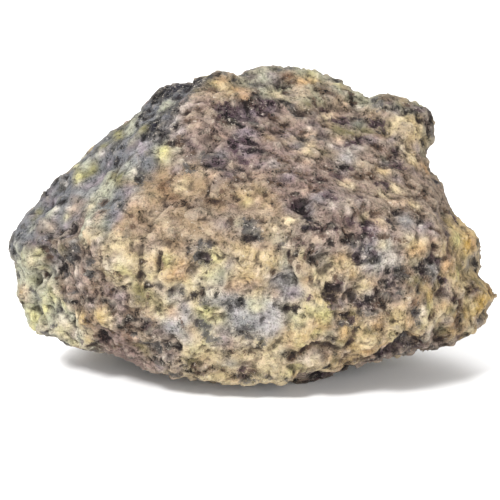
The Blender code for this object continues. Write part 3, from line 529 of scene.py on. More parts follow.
lay("rose", (82, 217, 5, 4), (70, 215, 5, 3), (92, 215, 5, 6), (132, 223, 3, 3), (90, 250, 6, 4),
    (140, 247, 8, 3), (133, 251, 5, 3), (155, 244, 7, 4), (148, 251, 4, 3))
lay("fawn", (80, 203, 9, 2.5), (103, 212, 5, 4), (90, 201, 8, 2), (78, 212, 6, 3), (160, 240, 6, 3),
    (140, 229, 6, 4), (190, 248, 7, 3), (175, 220, 8, 4))
lay("apricot", (84, 234, 2.5, 5, -20), (88, 239, 3, 3, -30))
lay("mauve", (52, 188, 4, 3), (76, 220, 5, 4), (34, 243, 7, 4), (45, 244, 6, 3), (95, 246, 5, 5),
    (47, 197, 5, 3), (49, 204, 5, 2), (110, 262, 2, 2), (90, 255, 6, 4))
lay("bark", (55, 223, 10, 1.8, -45), (40, 232, 7, 3, -30), (82, 215, 2, 5, 20), (28, 243, 4, 3),
    (80, 245, 4, 6, -20), (65, 243, 5, 4), (88, 248, 4, 3), (142, 220, 4, 4), (127, 234, 3, 4),
    (170, 243, 6, 2.5, 10), (143, 239, 5, 4), (186, 239, 4, 2), (176, 206, 5, 3, -20), (152, 226, 3, 5))
lay("umber", (61, 232, 4, 2, -45), (84, 254, 6, 3), (45, 251, 3, 1.4), (50, 241, 5, 1.5),
    (104, 202, 4, 2, 20), (103, 211, 3, 1.2), (131, 216, 2, 1.2, 30), (133, 227, 3, 1.5, 40),
    (175, 236, 1.6, 4))
lay("taupe", (50, 232, 5, 5, -40), (38, 225, 5, 3), (75, 198, 8, 3), (60, 243, 5, 3))
lay("tan", (145, 222, 10, 7), (130, 236, 6, 6), (165, 233, 7, 6), (150, 207, 8, 5), (182, 245, 8, 4),
    (190, 262, 8, 3), (125, 237, 4, 5))
print(count(), "patches so far")

# %% Patches of the lower left corner
lay("coal", (14, 251, 4, 2.5), (66, 267, 6, 3.5, 30), (62, 270, 2.5, 3), (76, 258, 2.5, 3),
    (90, 300, 6, 1.6, -10), (74, 302, 4, 2, -20), (48, 277, 1.6, 1.6), (71, 263, 3, 2),
    (21, 306, 2, 1.6, -40))
lay("graphite", (68, 258, 6, 4, 30), (68, 274, 6, 3, 10), (88, 262, 4, 5), (16, 262, 2, 8, -20),
    (36, 293, 5, 3, -20), (19, 275, 2, 5, -30), (66, 299, 5, 2.5, -30), (90, 273, 6, 4), (32, 291, 3, 2, -40),
    (77, 250, 5, 4), (58, 311, 5, 1.5, 30), (73, 293, 4, 3))
lay("steel", (60, 257, 4, 8, -30), (15, 258, 3, 4, -30), (37, 300, 5, 3), (54, 268, 4, 5), (58, 305, 3, 5))
lay("lemon", (39, 254, 4, 4), (51, 299, 4, 4), (36, 316, 8, 6), (30, 305, 4, 3), (45, 308, 6, 4),
    (36, 331, 6, 7), (40, 268, 3, 3))
lay("moss", (49, 294, 5, 5), (32, 279, 6, 3, -20), (34, 252, 4, 2), (43, 322, 4, 3, -20))
lay("olive", (46, 290, 4, 4), (46, 266, 3, 4), (38, 282, 4, 2.5), (57, 288, 4, 3))
lay("mint", (24, 263, 5, 7, -20), (24, 254, 4, 5), (42, 283, 6, 4, -20), (56, 312, 4, 4), (62, 307, 4, 4),
    (30, 272, 5, 5, -20), (70, 312, 3, 4, -40), (33, 284, 4, 3))
lay("sage", (26, 268, 3, 6, -20), (40, 288, 5, 3), (34, 301, 4, 3), (65, 317, 3, 5), (50, 315, 4, 4))
lay("chalk", (39, 268, 4, 6), (44, 276, 4, 3), (55, 293, 4, 3), (45, 281, 4, 2, -20), (50, 330, 5, 4),
    (56, 269, 2, 2), (74, 271, 4, 2.5, -30), (80, 287, 4, 1.6), (66, 279, 3, 1.6), (91, 306, 3, 1.6))
lay("butter", (32, 262, 4, 5), (48, 283, 5, 2, -20), (61, 297, 6, 3, -20), (70, 305, 4, 2.5), (75, 313, 5, 5),
    (66, 325, 5, 4), (57, 326, 5, 4))
lay("apricot", (19, 293, 2, 5))
lay("rust", (47, 262, 2.5, 6), (22, 303, 2.5, 4, -20), (46, 271, 2, 2))
lay("peach", (24, 290, 3, 5, -20), (25, 299, 3, 5, -20), (20, 285, 3, 3))
lay("mauve", (46, 254, 5, 1.6), (52, 258, 2.5, 4), (77, 280, 4, 3), (57, 258, 2, 5), (82, 265, 3, 4),
    (75, 285, 5, 3), (85, 292, 4, 3), (53, 262, 2, 6))
lay("bark", (60, 281, 6, 5), (62, 287, 5, 4), (86, 251, 6, 3), (96, 288, 5, 5), (80, 303, 5, 2.5),
    (88, 295, 6, 3), (72, 290, 5, 2.5), (98, 300, 5, 3), (92, 283, 4, 4), (84, 270, 4, 3))
lay("umber", (84, 252, 4, 3), (56, 277, 3, 2), (86, 290, 3, 2), (50, 258, 2, 2), (64, 291, 4, 2),
    (88, 320, 2.5, 4), (96, 303, 4, 1.6), (82, 298, 4, 1.6), (46, 275, 1.5, 3))
lay("rose", (82, 278, 4, 6, -30), (88, 282, 3, 6, -40), (94, 255, 5, 4), (96, 250, 5, 4), (75, 295, 4, 2.5),
    (92, 292, 4, 2.5), (68, 288, 4, 2))
lay("taupe", (66, 282, 5, 3), (100, 262, 4, 6), (84, 258, 4, 3), (100, 280, 4, 5), (94, 275, 4, 3),
    (104, 290, 6, 4))
lay("honey", (80, 317, 4, 7), (98, 314, 3, 6), (78, 310, 4, 4))
lay("tan", (92, 318, 4, 6), (91, 327, 4, 3))
print(count(), "patches so far")

# %% Patches of the pale band, left and middle
lay("butter", (104, 262, 5, 8), (125, 259, 8, 5, -20), (103, 249, 4, 5), (112, 275, 4, 6), (119, 288, 4, 3),
    (138, 261, 5, 5), (130, 256, 6, 3, -20), (147, 258, 5, 4), (240, 265, 6, 5), (232, 256, 5, 3),
    (215, 250, 4, 4), (257, 295, 5, 6), (222, 262, 4, 4), (200, 270, 4, 3), (195, 306, 5, 2.5))
lay("lemon", (126, 268, 9, 6, -10), (169, 258, 6, 5), (167, 265, 5, 4), (150, 276, 5, 3), (209, 272, 7, 5),
    (215, 258, 5, 7), (133, 277, 4, 4), (188, 283, 5, 4), (165, 300, 4, 5))
lay("honey", (127, 253, 5, 3, -30), (136, 254, 6, 2.5), (156, 262, 4, 6), (133, 273, 4, 4), (165, 272, 5, 4),
    (141, 284, 5, 2), (106, 310, 4, 4), (252, 258, 5, 4), (250, 275, 6, 6), (236, 246, 5, 3),
    (245, 292, 4, 4), (257, 280, 5, 5))
lay("chalk", (120, 260, 6, 2, -30), (108, 270, 4, 4), (123, 262, 5, 2, -40), (128, 281, 3, 3),
    (114, 262, 3, 3), (210, 294, 3, 4), (196, 280, 5, 2), (221, 288, 3, 3))
lay("sand", (130, 265, 5, 5), (120, 253, 5, 4), (146, 272, 6, 4), (139, 275, 5, 4), (113, 284, 3, 3),
    (180, 252, 8, 4), (187, 257, 5, 4), (160, 308, 8, 6), (150, 315, 6, 4), (220, 254, 4, 4),
    (228, 248, 6, 5), (240, 252, 8, 6), (212, 266, 6, 3), (252, 251, 6, 5), (220, 247, 5, 4),
    (238, 275, 4, 5), (258, 266, 4, 4))
lay("mauve", (110, 262, 3, 5), (143, 281, 5, 3.5), (108, 288, 4, 4), (168, 292, 4, 3), (118, 292, 4, 3),
    (93, 307, 5, 3), (250, 238, 7, 2.5), (192, 268, 4, 3), (208, 252, 3, 3), (254, 285, 3, 5))
lay("peach", (172, 262, 5, 3), (180, 272, 8, 4), (151, 265, 3, 4), (172, 316, 5, 3), (240, 284, 5, 6),
    (230, 285, 6, 5), (244, 270, 3, 3), (235, 291, 6, 3))
lay("apricot", (175, 275, 8, 6), (185, 263, 8, 3, -10), (168, 271, 6, 4), (183, 279, 5, 3), (155, 258, 3, 3),
    (226, 288, 4, 3), (248, 284, 3, 4))
lay("gold", (119, 278, 3, 2.5, -30), (99, 317, 2, 5))
lay("olive", (121, 281, 3, 2.5, -30), (142, 291, 9, 5, -10), (138, 298, 7, 4, -10), (150, 297, 5, 3),
    (105, 252, 2, 4, -30), (156, 303, 4, 3), (171, 303, 3, 4), (133, 303, 5, 2.5))
lay("moss", (136, 289, 5, 3), (151, 294, 5, 3), (106, 275, 2, 3))
lay("umber", (142, 263, 1.8, 3, -20), (160, 260, 2.4, 7, 4), (139, 276, 1.2, 4), (118, 275, 3, 1.2, -30),
    (110, 293, 2, 3), (148, 303, 1.2, 4), (113, 311, 2, 4), (214, 242, 2.5, 2), (201, 295, 2, 3))
lay("coal", (148, 286, 3, 3.5, -30), (124, 288, 2.5, 1.6), (135, 322, 3, 2), (92, 302, 5, 1.5),
    (203, 256, 4, 4), (206, 262, 3, 2.5), (202, 292, 2, 3), (217, 295, 2, 4), (240, 300, 3, 3),
    (238, 306, 6, 2), (188, 252, 1.3, 3.5), (254, 239, 4, 2.5), (245, 240, 2.5, 2))
lay("lilac", (158, 286, 6, 3, -10), (125, 277, 3, 2.5), (120, 295, 4, 3), (120, 308, 4, 6), (183, 306, 3, 4),
    (230, 264, 4, 5), (247, 287, 3, 3), (254, 243, 5, 2))
lay("slate", (160, 283, 4, 2, -20), (184, 300, 4, 3))
lay("bark", (105, 295, 5, 5, -30), (96, 268, 4, 4), (127, 300, 4, 5), (100, 272, 4, 4, -30), (128, 312, 6, 5),
    (108, 302, 5, 3), (138, 307, 5, 2.5), (160, 304, 3, 2), (121, 314, 3, 3), (104, 281, 4, 4, -30))
lay("taupe", (118, 301, 4, 5), (111, 282, 4, 4), (132, 296, 5, 4), (107, 308, 4, 4), (140, 313, 6, 4),
    (158, 297, 5, 3), (192, 272, 5, 3), (195, 245, 6, 3), (228, 260, 3, 3), (185, 266, 4, 2))
lay("graphite", (91, 275, 5, 4), (112, 305, 3, 3), (170, 293, 2, 4), (182, 292, 3, 2), (146, 320, 5, 2.5),
    (198, 258, 5, 4, 20), (209, 246, 4, 3), (240, 302, 6, 5), (250, 232, 6, 5), (200, 244, 2.5, 4),
    (206, 304, 6, 2), (227, 304, 6, 3))
lay("ice", (176, 296, 5, 5), (180, 287, 4, 3), (185, 305, 5, 3), (170, 297, 3, 3), (185, 317, 6, 3))
lay("plum", (207, 257, 3, 2))
lay("ink", (195, 295, 4, 4.5))
lay("teal", (221, 276, 4, 2.5, 20), (200, 262, 3, 3))
lay("steel", (193, 250, 5, 4), (205, 248, 4, 3), (223, 284, 4, 4), (208, 289, 6, 3), (214, 300, 5, 3),
    (204, 300, 4, 4), (232, 298, 6, 3))
lay("mint", (205, 278, 6, 3), (214, 275, 4, 3), (186, 278, 5, 3), (196, 285, 5, 2))
print(count(), "patches so far")

# %% Patches of the pale band, right of the middle
lay("graphite", (252, 234, 8, 6, -20), (280, 245, 4, 4), (284, 277, 5, 3), (258, 238, 5, 3), (368, 259, 8, 4),
    (398, 293, 5, 4), (352, 296, 4, 3), (362, 248, 5, 4), (378, 259, 5, 3), (397, 276, 4, 3),
    (355, 243, 5, 2.5), (398, 267, 4, 3))
lay("coal", (313, 246, 2, 2), (310, 262, 5, 2.5), (329, 245, 3, 4, 30), (276, 304, 2, 4), (284, 308, 5, 3),
    (313, 260, 3, 2), (297, 310, 7, 3), (330, 287, 6, 3), (325, 293, 4, 3, 40), (335, 291, 4, 3),
    (335, 299, 4, 2, -40), (346, 292, 3, 3), (364, 236, 4, 4), (347, 240, 6, 2), (361, 263, 3, 2),
    (386, 284, 4, 5), (388, 271, 2, 4), (398, 271, 3, 4, 30), (371, 260, 5, 2.5), (352, 235, 3, 2.5),
    (378, 293, 3, 3), (417, 269, 3, 3))
lay("umber", (274, 274, 2, 4), (289, 258, 1.6, 5, 10), (298, 267, 1.6, 4, 20), (311, 251, 5, 2, 20),
    (308, 257, 4, 3), (317, 262, 3, 3, -30), (288, 234, 3, 2), (297, 241, 3, 2), (311, 279, 1.5, 4),
    (320, 235, 4, 2), (328, 227, 5, 3), (276, 247, 2, 3), (342, 233, 8, 5), (352, 238, 8, 3),
    (350, 291, 5, 3), (345, 296, 3, 3), (337, 304, 5, 1.6, -40), (385, 237, 5, 1.5, 10), (378, 236, 4, 2),
    (376, 290, 2, 4), (401, 240, 6, 1.2), (377, 303, 5, 4), (410, 290, 3, 5), (402, 283, 3, 2),
    (335, 278, 2, 3))
lay("ink", (295.5, 255, 2.4, 3.2), (306, 229, 5, 3.5))
lay("plum", (323, 230, 6, 3), (316, 229, 5, 2.5), (309, 299, 3, 2), (300, 244, 4, 1.6), (338, 287, 5, 3),
    (358, 257, 5, 4, -30), (370, 253, 4, 5), (368, 235, 3, 6), (362, 227, 4, 3), (331, 230, 8, 4),
    (330, 297, 5, 3), (390, 283, 4, 2), (360, 304, 5, 3), (333, 306, 4, 2))
lay("lilac", (296, 294, 5, 4), (291, 299, 4, 3), (317, 248, 3, 2), (310, 301, 4, 2), (290, 291, 3, 2.5),
    (367, 241, 3, 3), (374, 235, 3, 5), (363, 257, 2.5, 2), (393, 277, 3, 3), (357, 250, 5, 2.5),
    (368, 270, 5, 3), (350, 246, 6, 3), (343, 302, 5, 3, -40), (325, 297, 2, 1.6, 20), (380, 272, 4, 4),
    (352, 302, 4, 3), (370, 226, 3, 5))
lay("sage", (282, 262, 5, 7), (278, 242, 6, 4), (275, 238, 4, 3), (294, 281, 4, 5), (328, 262, 3, 5),
    (320, 258, 3, 3), (283, 253, 4, 4))
lay("steel", (289, 274, 5, 3), (285, 288, 6, 5), (300, 298, 5, 5), (284, 268, 5, 3), (317, 254, 2, 3),
    (309, 257, 2, 1.6))
lay("mint", (265, 301, 7, 5), (250, 303, 4, 4), (283, 303, 4, 4), (287, 262, 3, 6), (300, 303, 3, 3),
    (389, 247, 5, 4), (380, 267, 4, 3), (349, 266, 2, 4), (398, 245, 4, 2), (372, 272, 3, 3))
lay("honey", (249, 250, 7, 4), (268, 272, 5, 8), (248, 283, 4, 6, -20), (263, 290, 4, 4), (257, 275, 5, 4),
    (302, 282, 5, 4), (270, 262, 6, 6), (354, 268, 5, 6), (335, 264, 4, 5), (358, 273, 3, 5),
    (350, 260, 4, 4), (368, 289, 5, 3))
lay("butter", (247, 265, 6, 5), (264, 257, 5, 4), (319, 277, 6, 6), (297, 275, 3, 5, 20), (278, 229, 5, 4),
    (283, 230, 5, 4), (257, 298, 6, 5), (324, 285, 5, 4), (315, 290, 5, 3), (296, 264, 3, 4),
    (345, 261, 6, 5), (338, 270, 4, 6), (366, 284, 8, 5), (352, 273, 5, 6), (363, 291, 6, 4),
    (323, 279, 4, 5), (382, 243, 5, 4), (412, 238, 4, 4), (330, 275, 4, 5))
lay("lemon", (302, 254, 3, 5), (320, 304, 7, 3), (313, 272, 4, 5), (309, 305, 4, 3))
lay("tan", (302, 277, 5, 6, 20), (306, 268, 4, 7, 20), (266, 279, 4, 5), (309, 274, 3, 6, 10),
    (271, 279, 3, 5))
lay("sand", (288, 243, 4, 6), (261, 281, 5, 6), (314, 268, 5, 3), (280, 255, 3, 3), (270, 290, 5, 5),
    (315, 240, 3, 4), (308, 286, 7, 3), (328, 278, 4, 4), (348, 230, 4, 3), (377, 245, 5, 5),
    (403, 262, 4, 5), (360, 276, 5, 2), (345, 249, 5, 3))
lay("apricot", (307, 281, 3, 4), (344, 272, 4, 4), (353, 275, 4, 4), (340, 258, 5, 2))
lay("peach", (288, 250, 3, 4), (273, 295, 4, 5, -40), (256, 284, 5, 5), (298, 262, 4, 2), (276, 288, 3, 4),
    (375, 282, 5, 4), (397, 243, 5, 3), (384, 230, 6, 3, -30), (370, 281, 4, 3))
lay("chalk", (269, 276, 4, 3), (260, 272, 3, 3), (285, 247, 3, 2), (317, 287, 4, 2), (390, 252, 6, 5),
    (369, 292, 4, 3), (362, 267, 4, 4), (387, 262, 5, 3), (395, 256, 5, 4), (346, 283, 4, 3),
    (332, 232, 2.5, 2))
lay("moss", (303, 257, 2, 2), (349, 280, 2.5, 2))
lay("rose", (320, 241, 4, 3), (328, 233, 4, 3), (305, 241, 4, 3), (263, 249, 6, 2.5), (270, 242, 5, 3),
    (334, 236, 4, 4, 30), (337, 249, 5, 3), (396, 235, 5, 3), (358, 229, 4, 3), (393, 290, 4, 4),
    (328, 236, 4, 4))
lay("taupe", (275, 252, 3, 3), (323, 252, 4, 3), (290, 229, 6, 4), (265, 240, 4, 2), (326, 244, 5, 4),
    (328, 256, 4, 4), (390, 292, 5, 4), (405, 290, 4, 4), (322, 262, 3, 4))
lay("slate", (367, 247, 4, 4), (371, 247, 3, 5), (382, 259, 3, 2), (404, 228, 5, 2, -40))
lay("ice", (376, 266, 5, 3), (392, 265, 4, 3), (401, 258, 4, 3))
lay("rust", (408, 272, 5, 2.5), (402, 282, 4, 1.6), (395, 247, 4, 1.4, -20))
lay("olive", (408, 262, 5, 4), (405, 276, 4, 5), (354, 287, 2, 4, -20))
print(count(), "patches so far")

# %% Patches of the right end
lay("honey", (465, 243, 6, 8), (414, 244, 7, 4), (444, 248, 3, 6, -30), (460, 233, 6, 5), (463, 254, 6, 3),
    (485, 300, 8, 6), (440, 256, 4, 2))
lay("gold", (469, 247, 5, 6), (489, 298, 5, 6), (480, 306, 7, 4), (493, 291, 2, 3), (468, 239, 4, 4))
lay("lemon", (457, 232, 5, 6), (412, 237, 6, 3), (457, 240, 3, 6), (466, 300, 3, 4), (458, 274, 3, 4))
lay("butter", (453, 289, 5, 5), (461, 290, 5, 5), (466, 284, 5, 4), (433, 302, 6, 3), (456, 281, 5, 5),
    (462, 297, 4, 2.5), (423, 240, 5, 3), (440, 244, 3, 3))
lay("apricot", (474, 243, 3.5, 8), (446, 268, 4, 8, 10), (420, 250, 8, 3), (470, 232, 5, 4), (450, 262, 5, 4),
    (494, 286, 2, 4, 30), (413, 253, 5, 3))
lay("tan", (420, 258, 4, 3), (446, 276, 4, 4), (451, 267, 4, 5), (460, 261, 5, 3), (484, 287, 6, 3, -20),
    (410, 295, 6, 5), (445, 240, 4, 3), (430, 250, 5, 3))
lay("olive", (467, 230, 4, 2), (463, 257, 4, 2), (460, 266, 6, 4), (480, 282, 5, 3), (420, 281, 7, 5),
    (476, 280, 4, 2.5), (410, 284, 4, 4), (438, 286, 4, 3), (428, 252, 6, 1.5))
lay("bark", (465, 228, 5, 3), (427, 280, 7, 4), (435, 290, 6, 4), (467, 293, 5, 3, -20), (420, 290, 6, 4),
    (452, 243, 4, 4), (474, 285, 4, 3), (460, 302, 4, 4), (490, 291, 4, 3), (425, 296, 5, 3),
    (444, 232, 5, 3, -20), (455, 246, 3, 3))
lay("umber", (435, 247, 3.5, 2.5), (450, 249, 2.5, 4), (418, 286, 4, 3), (441, 293, 4, 2), (461, 304, 2, 4),
    (471, 288, 3, 2), (433, 228, 3, 2, -30), (441, 232, 4, 1.6, -20), (449, 241, 3, 2), (445, 257, 3, 3, 30),
    (462, 279, 1.2, 2))
lay("coal", (420, 268, 4.5, 4), (427, 260, 5, 2, 20), (430, 261, 4, 2.5), (440, 259, 5, 2.5),
    (443, 283, 3, 3), (434, 275, 4, 1.6), (475, 260, 3, 3), (475, 270, 4, 3.5), (439, 269, 1.6, 4, 30),
    (425, 270, 3, 3), (476, 265, 2, 4), (418, 290, 1.5, 2.5))
lay("plum", (438, 262, 4, 3), (431, 256, 4, 3), (477, 288, 5, 2.5), (423, 272, 3, 3), (450, 236, 4, 4),
    (442, 280, 5, 2, -30), (443, 290, 4, 2), (457, 300, 4, 2))
lay("lilac", (435, 233, 5, 3, -20), (448, 286, 3, 4), (410, 232, 6, 3), (450, 295, 4, 3), (421, 230, 6, 4),
    (430, 225, 5, 3), (471, 281, 3, 2))
lay("ice", (476, 264, 3, 4, -20), (477, 255, 2, 3), (437, 269, 3, 3), (473, 267, 2, 3))
lay("steel", (427, 266, 3, 4), (435, 281, 5, 3), (433, 267, 3, 6, 30), (467, 264, 3, 5), (475, 256, 3, 3))
lay("sage", (468, 258, 4, 2), (465, 270, 6, 3), (416, 262, 4, 4), (441, 300, 4, 3))
lay("peach", (430, 242, 5, 3), (437, 241, 4, 4), (459, 288, 4, 3), (455, 256, 4, 3), (404, 256, 4, 4))
lay("rose", (432, 285, 4, 3), (417, 299, 4, 3), (400, 248, 4, 4), (450, 254, 4, 3))
lay("rust", (474, 249, 4, 2), (449, 251, 2, 3), (407, 272, 4, 2), (448, 260, 4, 1.3), (494, 293, 2, 3),
    (492, 287, 3, 2, -30))
lay("graphite", (405, 275, 4, 4), (480, 241, 1.6, 5), (470, 260, 2, 5), (430, 272, 4, 2))
print(count(), "patches so far")

# %% Patches of the foot, left part
lay("lemon", (44, 301, 4, 3), (33, 318, 4, 6), (44, 310, 5, 5), (66, 304, 4, 4), (61, 332, 3, 4),
    (53, 302, 3, 2.5), (73, 345, 4, 2, -20))
lay("butter", (40, 322, 5, 4), (68, 328, 4, 3), (67, 338, 4, 4), (57, 334, 4, 2, -20), (78, 346, 4, 4),
    (84, 346, 3, 4), (106, 318, 4, 5), (90, 333, 6, 3), (104, 328, 4, 3), (110, 326, 3, 4))
lay("mint", (72, 314, 4, 6, -30), (74, 326, 4, 4), (82, 334, 5, 4), (54, 319, 5, 3, 30))
lay("chalk", (61, 317, 5, 3), (68, 306, 2, 3, -30), (78, 332, 5, 3), (57, 322, 4, 3), (64, 322, 4, 3))
lay("olive", (54, 318, 5, 1.3, 40), (50, 330, 6, 1.5, -20))
lay("graphite", (65, 344, 5, 1.5, -40), (79, 340, 4, 1.6, -30), (47, 335, 5, 1.6, -20), (93, 352, 5, 1.8),
    (107, 353, 5, 1.8), (82, 350, 2, 3), (52, 326, 4, 3), (130, 358, 3, 1.5))
lay("coal", (104, 333, 4, 4), (108, 338, 6, 3), (120, 327, 3, 3), (104, 301, 3, 2))
lay("peach", (37, 331, 5, 3, -20), (87, 336, 4, 3), (43, 328, 3, 2), (96, 331, 4, 3))
lay("honey", (81, 318, 5, 8), (81, 326, 5, 3), (97, 316, 4, 6), (103, 315, 4, 8), (89, 340, 4, 4))
lay("gold", (83, 322, 2, 4), (101, 320, 2, 6), (88, 342, 3, 3))
lay("bark", (94, 325, 3, 3), (114, 343, 4, 4), (79, 308, 5, 2), (120, 330, 5, 3), (108, 345, 6, 4),
    (126, 333, 5, 4))
lay("umber", (87, 322, 2, 4, 10), (96, 338, 3, 3), (110, 332, 3, 3), (89, 347, 4, 1.4), (100, 341, 5, 3),
    (96, 352, 4, 1.6), (120, 345, 2, 2), (113, 347, 5, 1.6))
lay("plum", (99, 342, 4, 3), (103, 340, 4, 4), (92, 345, 4, 2))
lay("rose", (122, 341, 5, 5), (128, 348, 5, 6), (114, 348, 4, 3), (72, 335, 3, 4), (120, 352, 5, 2))
lay("lilac", (118, 320, 3, 3), (93, 304, 5, 3))
lay("sand", (75, 348, 5, 3), (62, 339, 4, 2, -20), (100, 348, 6, 2), (116, 316, 4, 3), (113, 323, 4, 2))
lay("mauve", (107, 352, 5, 2), (114, 298, 4, 4))
print(count(), "patches so far")

# %% Patches of the foot, from the left to the middle
lay("coal", (131, 320, 7, 3.5, -10), (145, 327, 5, 3), (150, 332, 2, 5), (176, 346, 3.5, 4, -40),
    (178, 349, 3, 3), (168, 347, 2.5, 4, -20), (163, 362, 4, 3), (155, 358, 1.6, 4), (188, 359, 3, 3, 30),
    (190, 371, 5, 3), (125, 324, 3, 3), (196, 380, 5, 1.4), (258, 348, 3, 3), (236, 376, 4, 2),
    (246, 379, 5, 2, 20))
lay("umber", (140, 331, 6, 2, -10), (148, 323, 2, 4), (128, 328, 5, 2.5), (182, 324, 1.2, 4, 35),
    (196, 366, 5, 5), (186, 377, 6, 1.6, -10), (150, 340, 1.6, 3), (152, 352, 3, 4), (197, 374, 6, 3),
    (232, 352, 3, 2), (249, 352, 4, 1.3), (222, 370, 5, 2, -20), (178, 361, 4, 3), (255, 372, 5, 2),
    (205, 372, 5, 2.5), (243, 376, 6, 2, 10))
lay("plum", (146, 329, 5, 3), (250, 329, 4, 2, 30), (242, 370, 3, 4))
lay("ink", (184, 366, 3.5, 3))
lay("graphite", (205, 325, 6, 3, -35), (204, 331, 6, 3, -35), (216, 339, 5, 2.5, -30), (158, 350, 6, 4, -30),
    (260, 339, 4, 5), (250, 339, 5, 2.5, -30), (208, 338, 5, 2.5, -20), (262, 320, 2, 4), (156, 363, 4, 3),
    (240, 332, 6, 3, 10), (245, 327, 7, 2.5, 20), (262, 345, 4, 3), (175, 377, 6, 2), (250, 382, 8, 1.6),
    (232, 310, 3, 5), (133, 335, 4, 2), (145, 345, 5, 2, -20), (270, 378, 6, 2), (198, 323, 4, 3, -30))
lay("steel", (171, 330, 6, 4), (182, 332, 4, 3), (246, 320, 8, 4, 10), (252, 326, 7, 4), (232, 321, 5, 4),
    (178, 336, 5, 3), (168, 326, 5, 3), (232, 363, 6, 3), (213, 345, 6, 3), (255, 333, 5, 3),
    (188, 336, 3, 4), (168, 357, 4, 3), (184, 311, 4, 4))
lay("ice", (184, 339, 5, 4), (176, 325, 5, 3), (253, 317, 3, 2.5), (240, 312, 4, 3), (190, 342, 4, 2.5),
    (186, 320, 4, 3), (248, 345, 4, 3), (195, 317, 5, 2))
lay("chalk", (159, 341, 3, 2), (178, 318, 5, 3), (163, 357, 2, 1.5), (182, 344, 4, 2), (193, 345, 5, 2),
    (157, 315, 2, 3), (247, 343, 3, 2))
lay("teal", (202, 329, 5, 2.5, -40), (208, 323, 5, 2, -30), (237, 364, 4, 2))
lay("lilac", (224, 336, 4, 5), (161, 367, 5, 4), (156, 331, 3, 3), (238, 371, 4, 4), (180, 372, 3, 3),
    (220, 330, 5, 3), (221, 342, 5, 3))
lay("lemon", (197, 312, 6, 6), (205, 344, 6, 3), (209, 314, 6, 6), (215, 320, 6, 6), (163, 311, 4, 6),
    (214, 378, 4, 2), (258, 308, 7, 3), (193, 350, 5, 4))
lay("butter", (202, 352, 7, 4), (185, 350, 4, 3), (212, 348, 6, 4), (218, 313, 5, 5), (196, 357, 6, 3),
    (240, 353, 4, 4), (222, 376, 6, 2.5), (215, 357, 6, 4), (212, 322, 5, 4), (245, 358, 3, 4),
    (186, 355, 4, 2))
lay("honey", (219, 376, 5, 2), (206, 357, 6, 3), (226, 379, 6, 2), (195, 341, 4, 2), (238, 357, 4, 3),
    (228, 372, 5, 3))
lay("apricot", (192, 328, 2, 4), (173, 314, 3, 6), (237, 381, 7, 2))
lay("rust", (240, 379, 7, 3), (125, 338, 3, 5))
lay("peach", (198, 338, 4, 3), (155, 312, 4, 6), (168, 314, 4, 6), (133, 338, 4, 3))
lay("rose", (146, 366, 7, 3), (140, 358, 5, 4), (133, 352, 5, 4), (168, 354, 5, 3), (150, 368, 4, 2),
    (228, 344, 5, 4), (247, 365, 6, 3), (235, 345, 4, 4), (178, 356, 4, 2.5), (140, 340, 6, 3, -30))
lay("bark", (136, 344, 4, 4), (128, 343, 5, 4), (135, 314, 6, 3), (152, 321, 5, 3), (139, 350, 5, 4, -30),
    (200, 364, 5, 3), (150, 362, 4, 3), (212, 370, 5, 3), (158, 327, 4, 3), (134, 330, 6, 2.5),
    (171, 364, 3, 3), (251, 366, 6, 3))
lay("olive", (146, 354, 5, 2, -30), (145, 342, 5, 2), (157, 309, 5, 3), (182, 358, 5, 2), (226, 320, 2, 2),
    (189, 363, 5, 3), (218, 366, 5, 3), (224, 355, 4, 5), (258, 376, 6, 2), (168, 374, 5, 2),
    (193, 355, 3, 2), (230, 331, 3, 3))
lay("sand", (148, 336, 5, 3), (190, 312, 4, 8), (140, 334, 5, 2.5), (219, 361, 5, 3), (228, 360, 5, 4),
    (208, 362, 5, 3), (167, 363, 4, 3), (165, 370, 4, 2), (258, 357, 5, 4), (180, 314, 3, 5),
    (213, 373, 5, 2), (172, 371, 5, 2.5))
lay("taupe", (163, 347, 5, 4, -40), (175, 362, 5, 3), (203, 369, 4, 3), (223, 350, 5, 4), (253, 349, 4, 3),
    (238, 348, 4, 3), (175, 352, 3, 3), (153, 340, 4, 3))
lay("moss", (140, 347, 5, 3, -20), (196, 361, 4, 2))
print(count(), "patches so far")

# %% Patches of the foot, right of the middle
lay("coal", (328, 367, 5, 3.6), (321, 371, 7, 3.6, 20), (316, 376, 5, 2, 20), (286, 380, 2.4, 2.8),
    (343, 317, 5, 3.5), (357, 330, 2, 4, -30), (360, 312, 2.6, 4.5), (345, 368, 5, 1.6, 25),
    (374, 311, 4, 2.5), (385, 307, 2.4, 2), (377, 353, 6, 3.5, 35), (290, 383, 3.5, 1),
    (371, 360, 5, 1.4, 10))
lay("umber", (293, 358, 4.5, 3.2), (301, 353, 6, 1.8, 32), (309, 348, 4, 1.8, 35), (325, 346, 6, 1.2, -8),
    (334, 338, 1.8, 2), (350, 314, 8, 4), (354, 336, 1.5, 5, -35), (349, 344, 1.5, 5, -35),
    (347, 365, 6, 2, 20), (356, 361, 7, 1.8, 15), (347, 357, 4, 1.3, -35), (384, 301, 4, 6),
    (366, 358, 7, 1.3), (343, 362, 2, 3))
lay("ink", (369, 300, 5, 6), (376, 357, 5, 3), (350, 325, 3.5, 3))
lay("plum", (352, 341, 2.5, 3), (350, 321, 5, 2.5), (372, 309, 5, 3))
lay("graphite", (368, 313, 3, 3), (340, 323, 5, 3), (332, 341, 2, 3), (386, 296, 6, 3))
lay("bark", (290, 354, 4, 4), (303, 315, 3, 2.6), (349, 333, 3.5, 6, 10), (337, 350, 5, 1.6, -10),
    (332, 372, 4, 2, 20), (353, 350, 4, 2, -20), (346, 310, 4, 2), (335, 354, 3, 5), (391, 303, 4, 5))
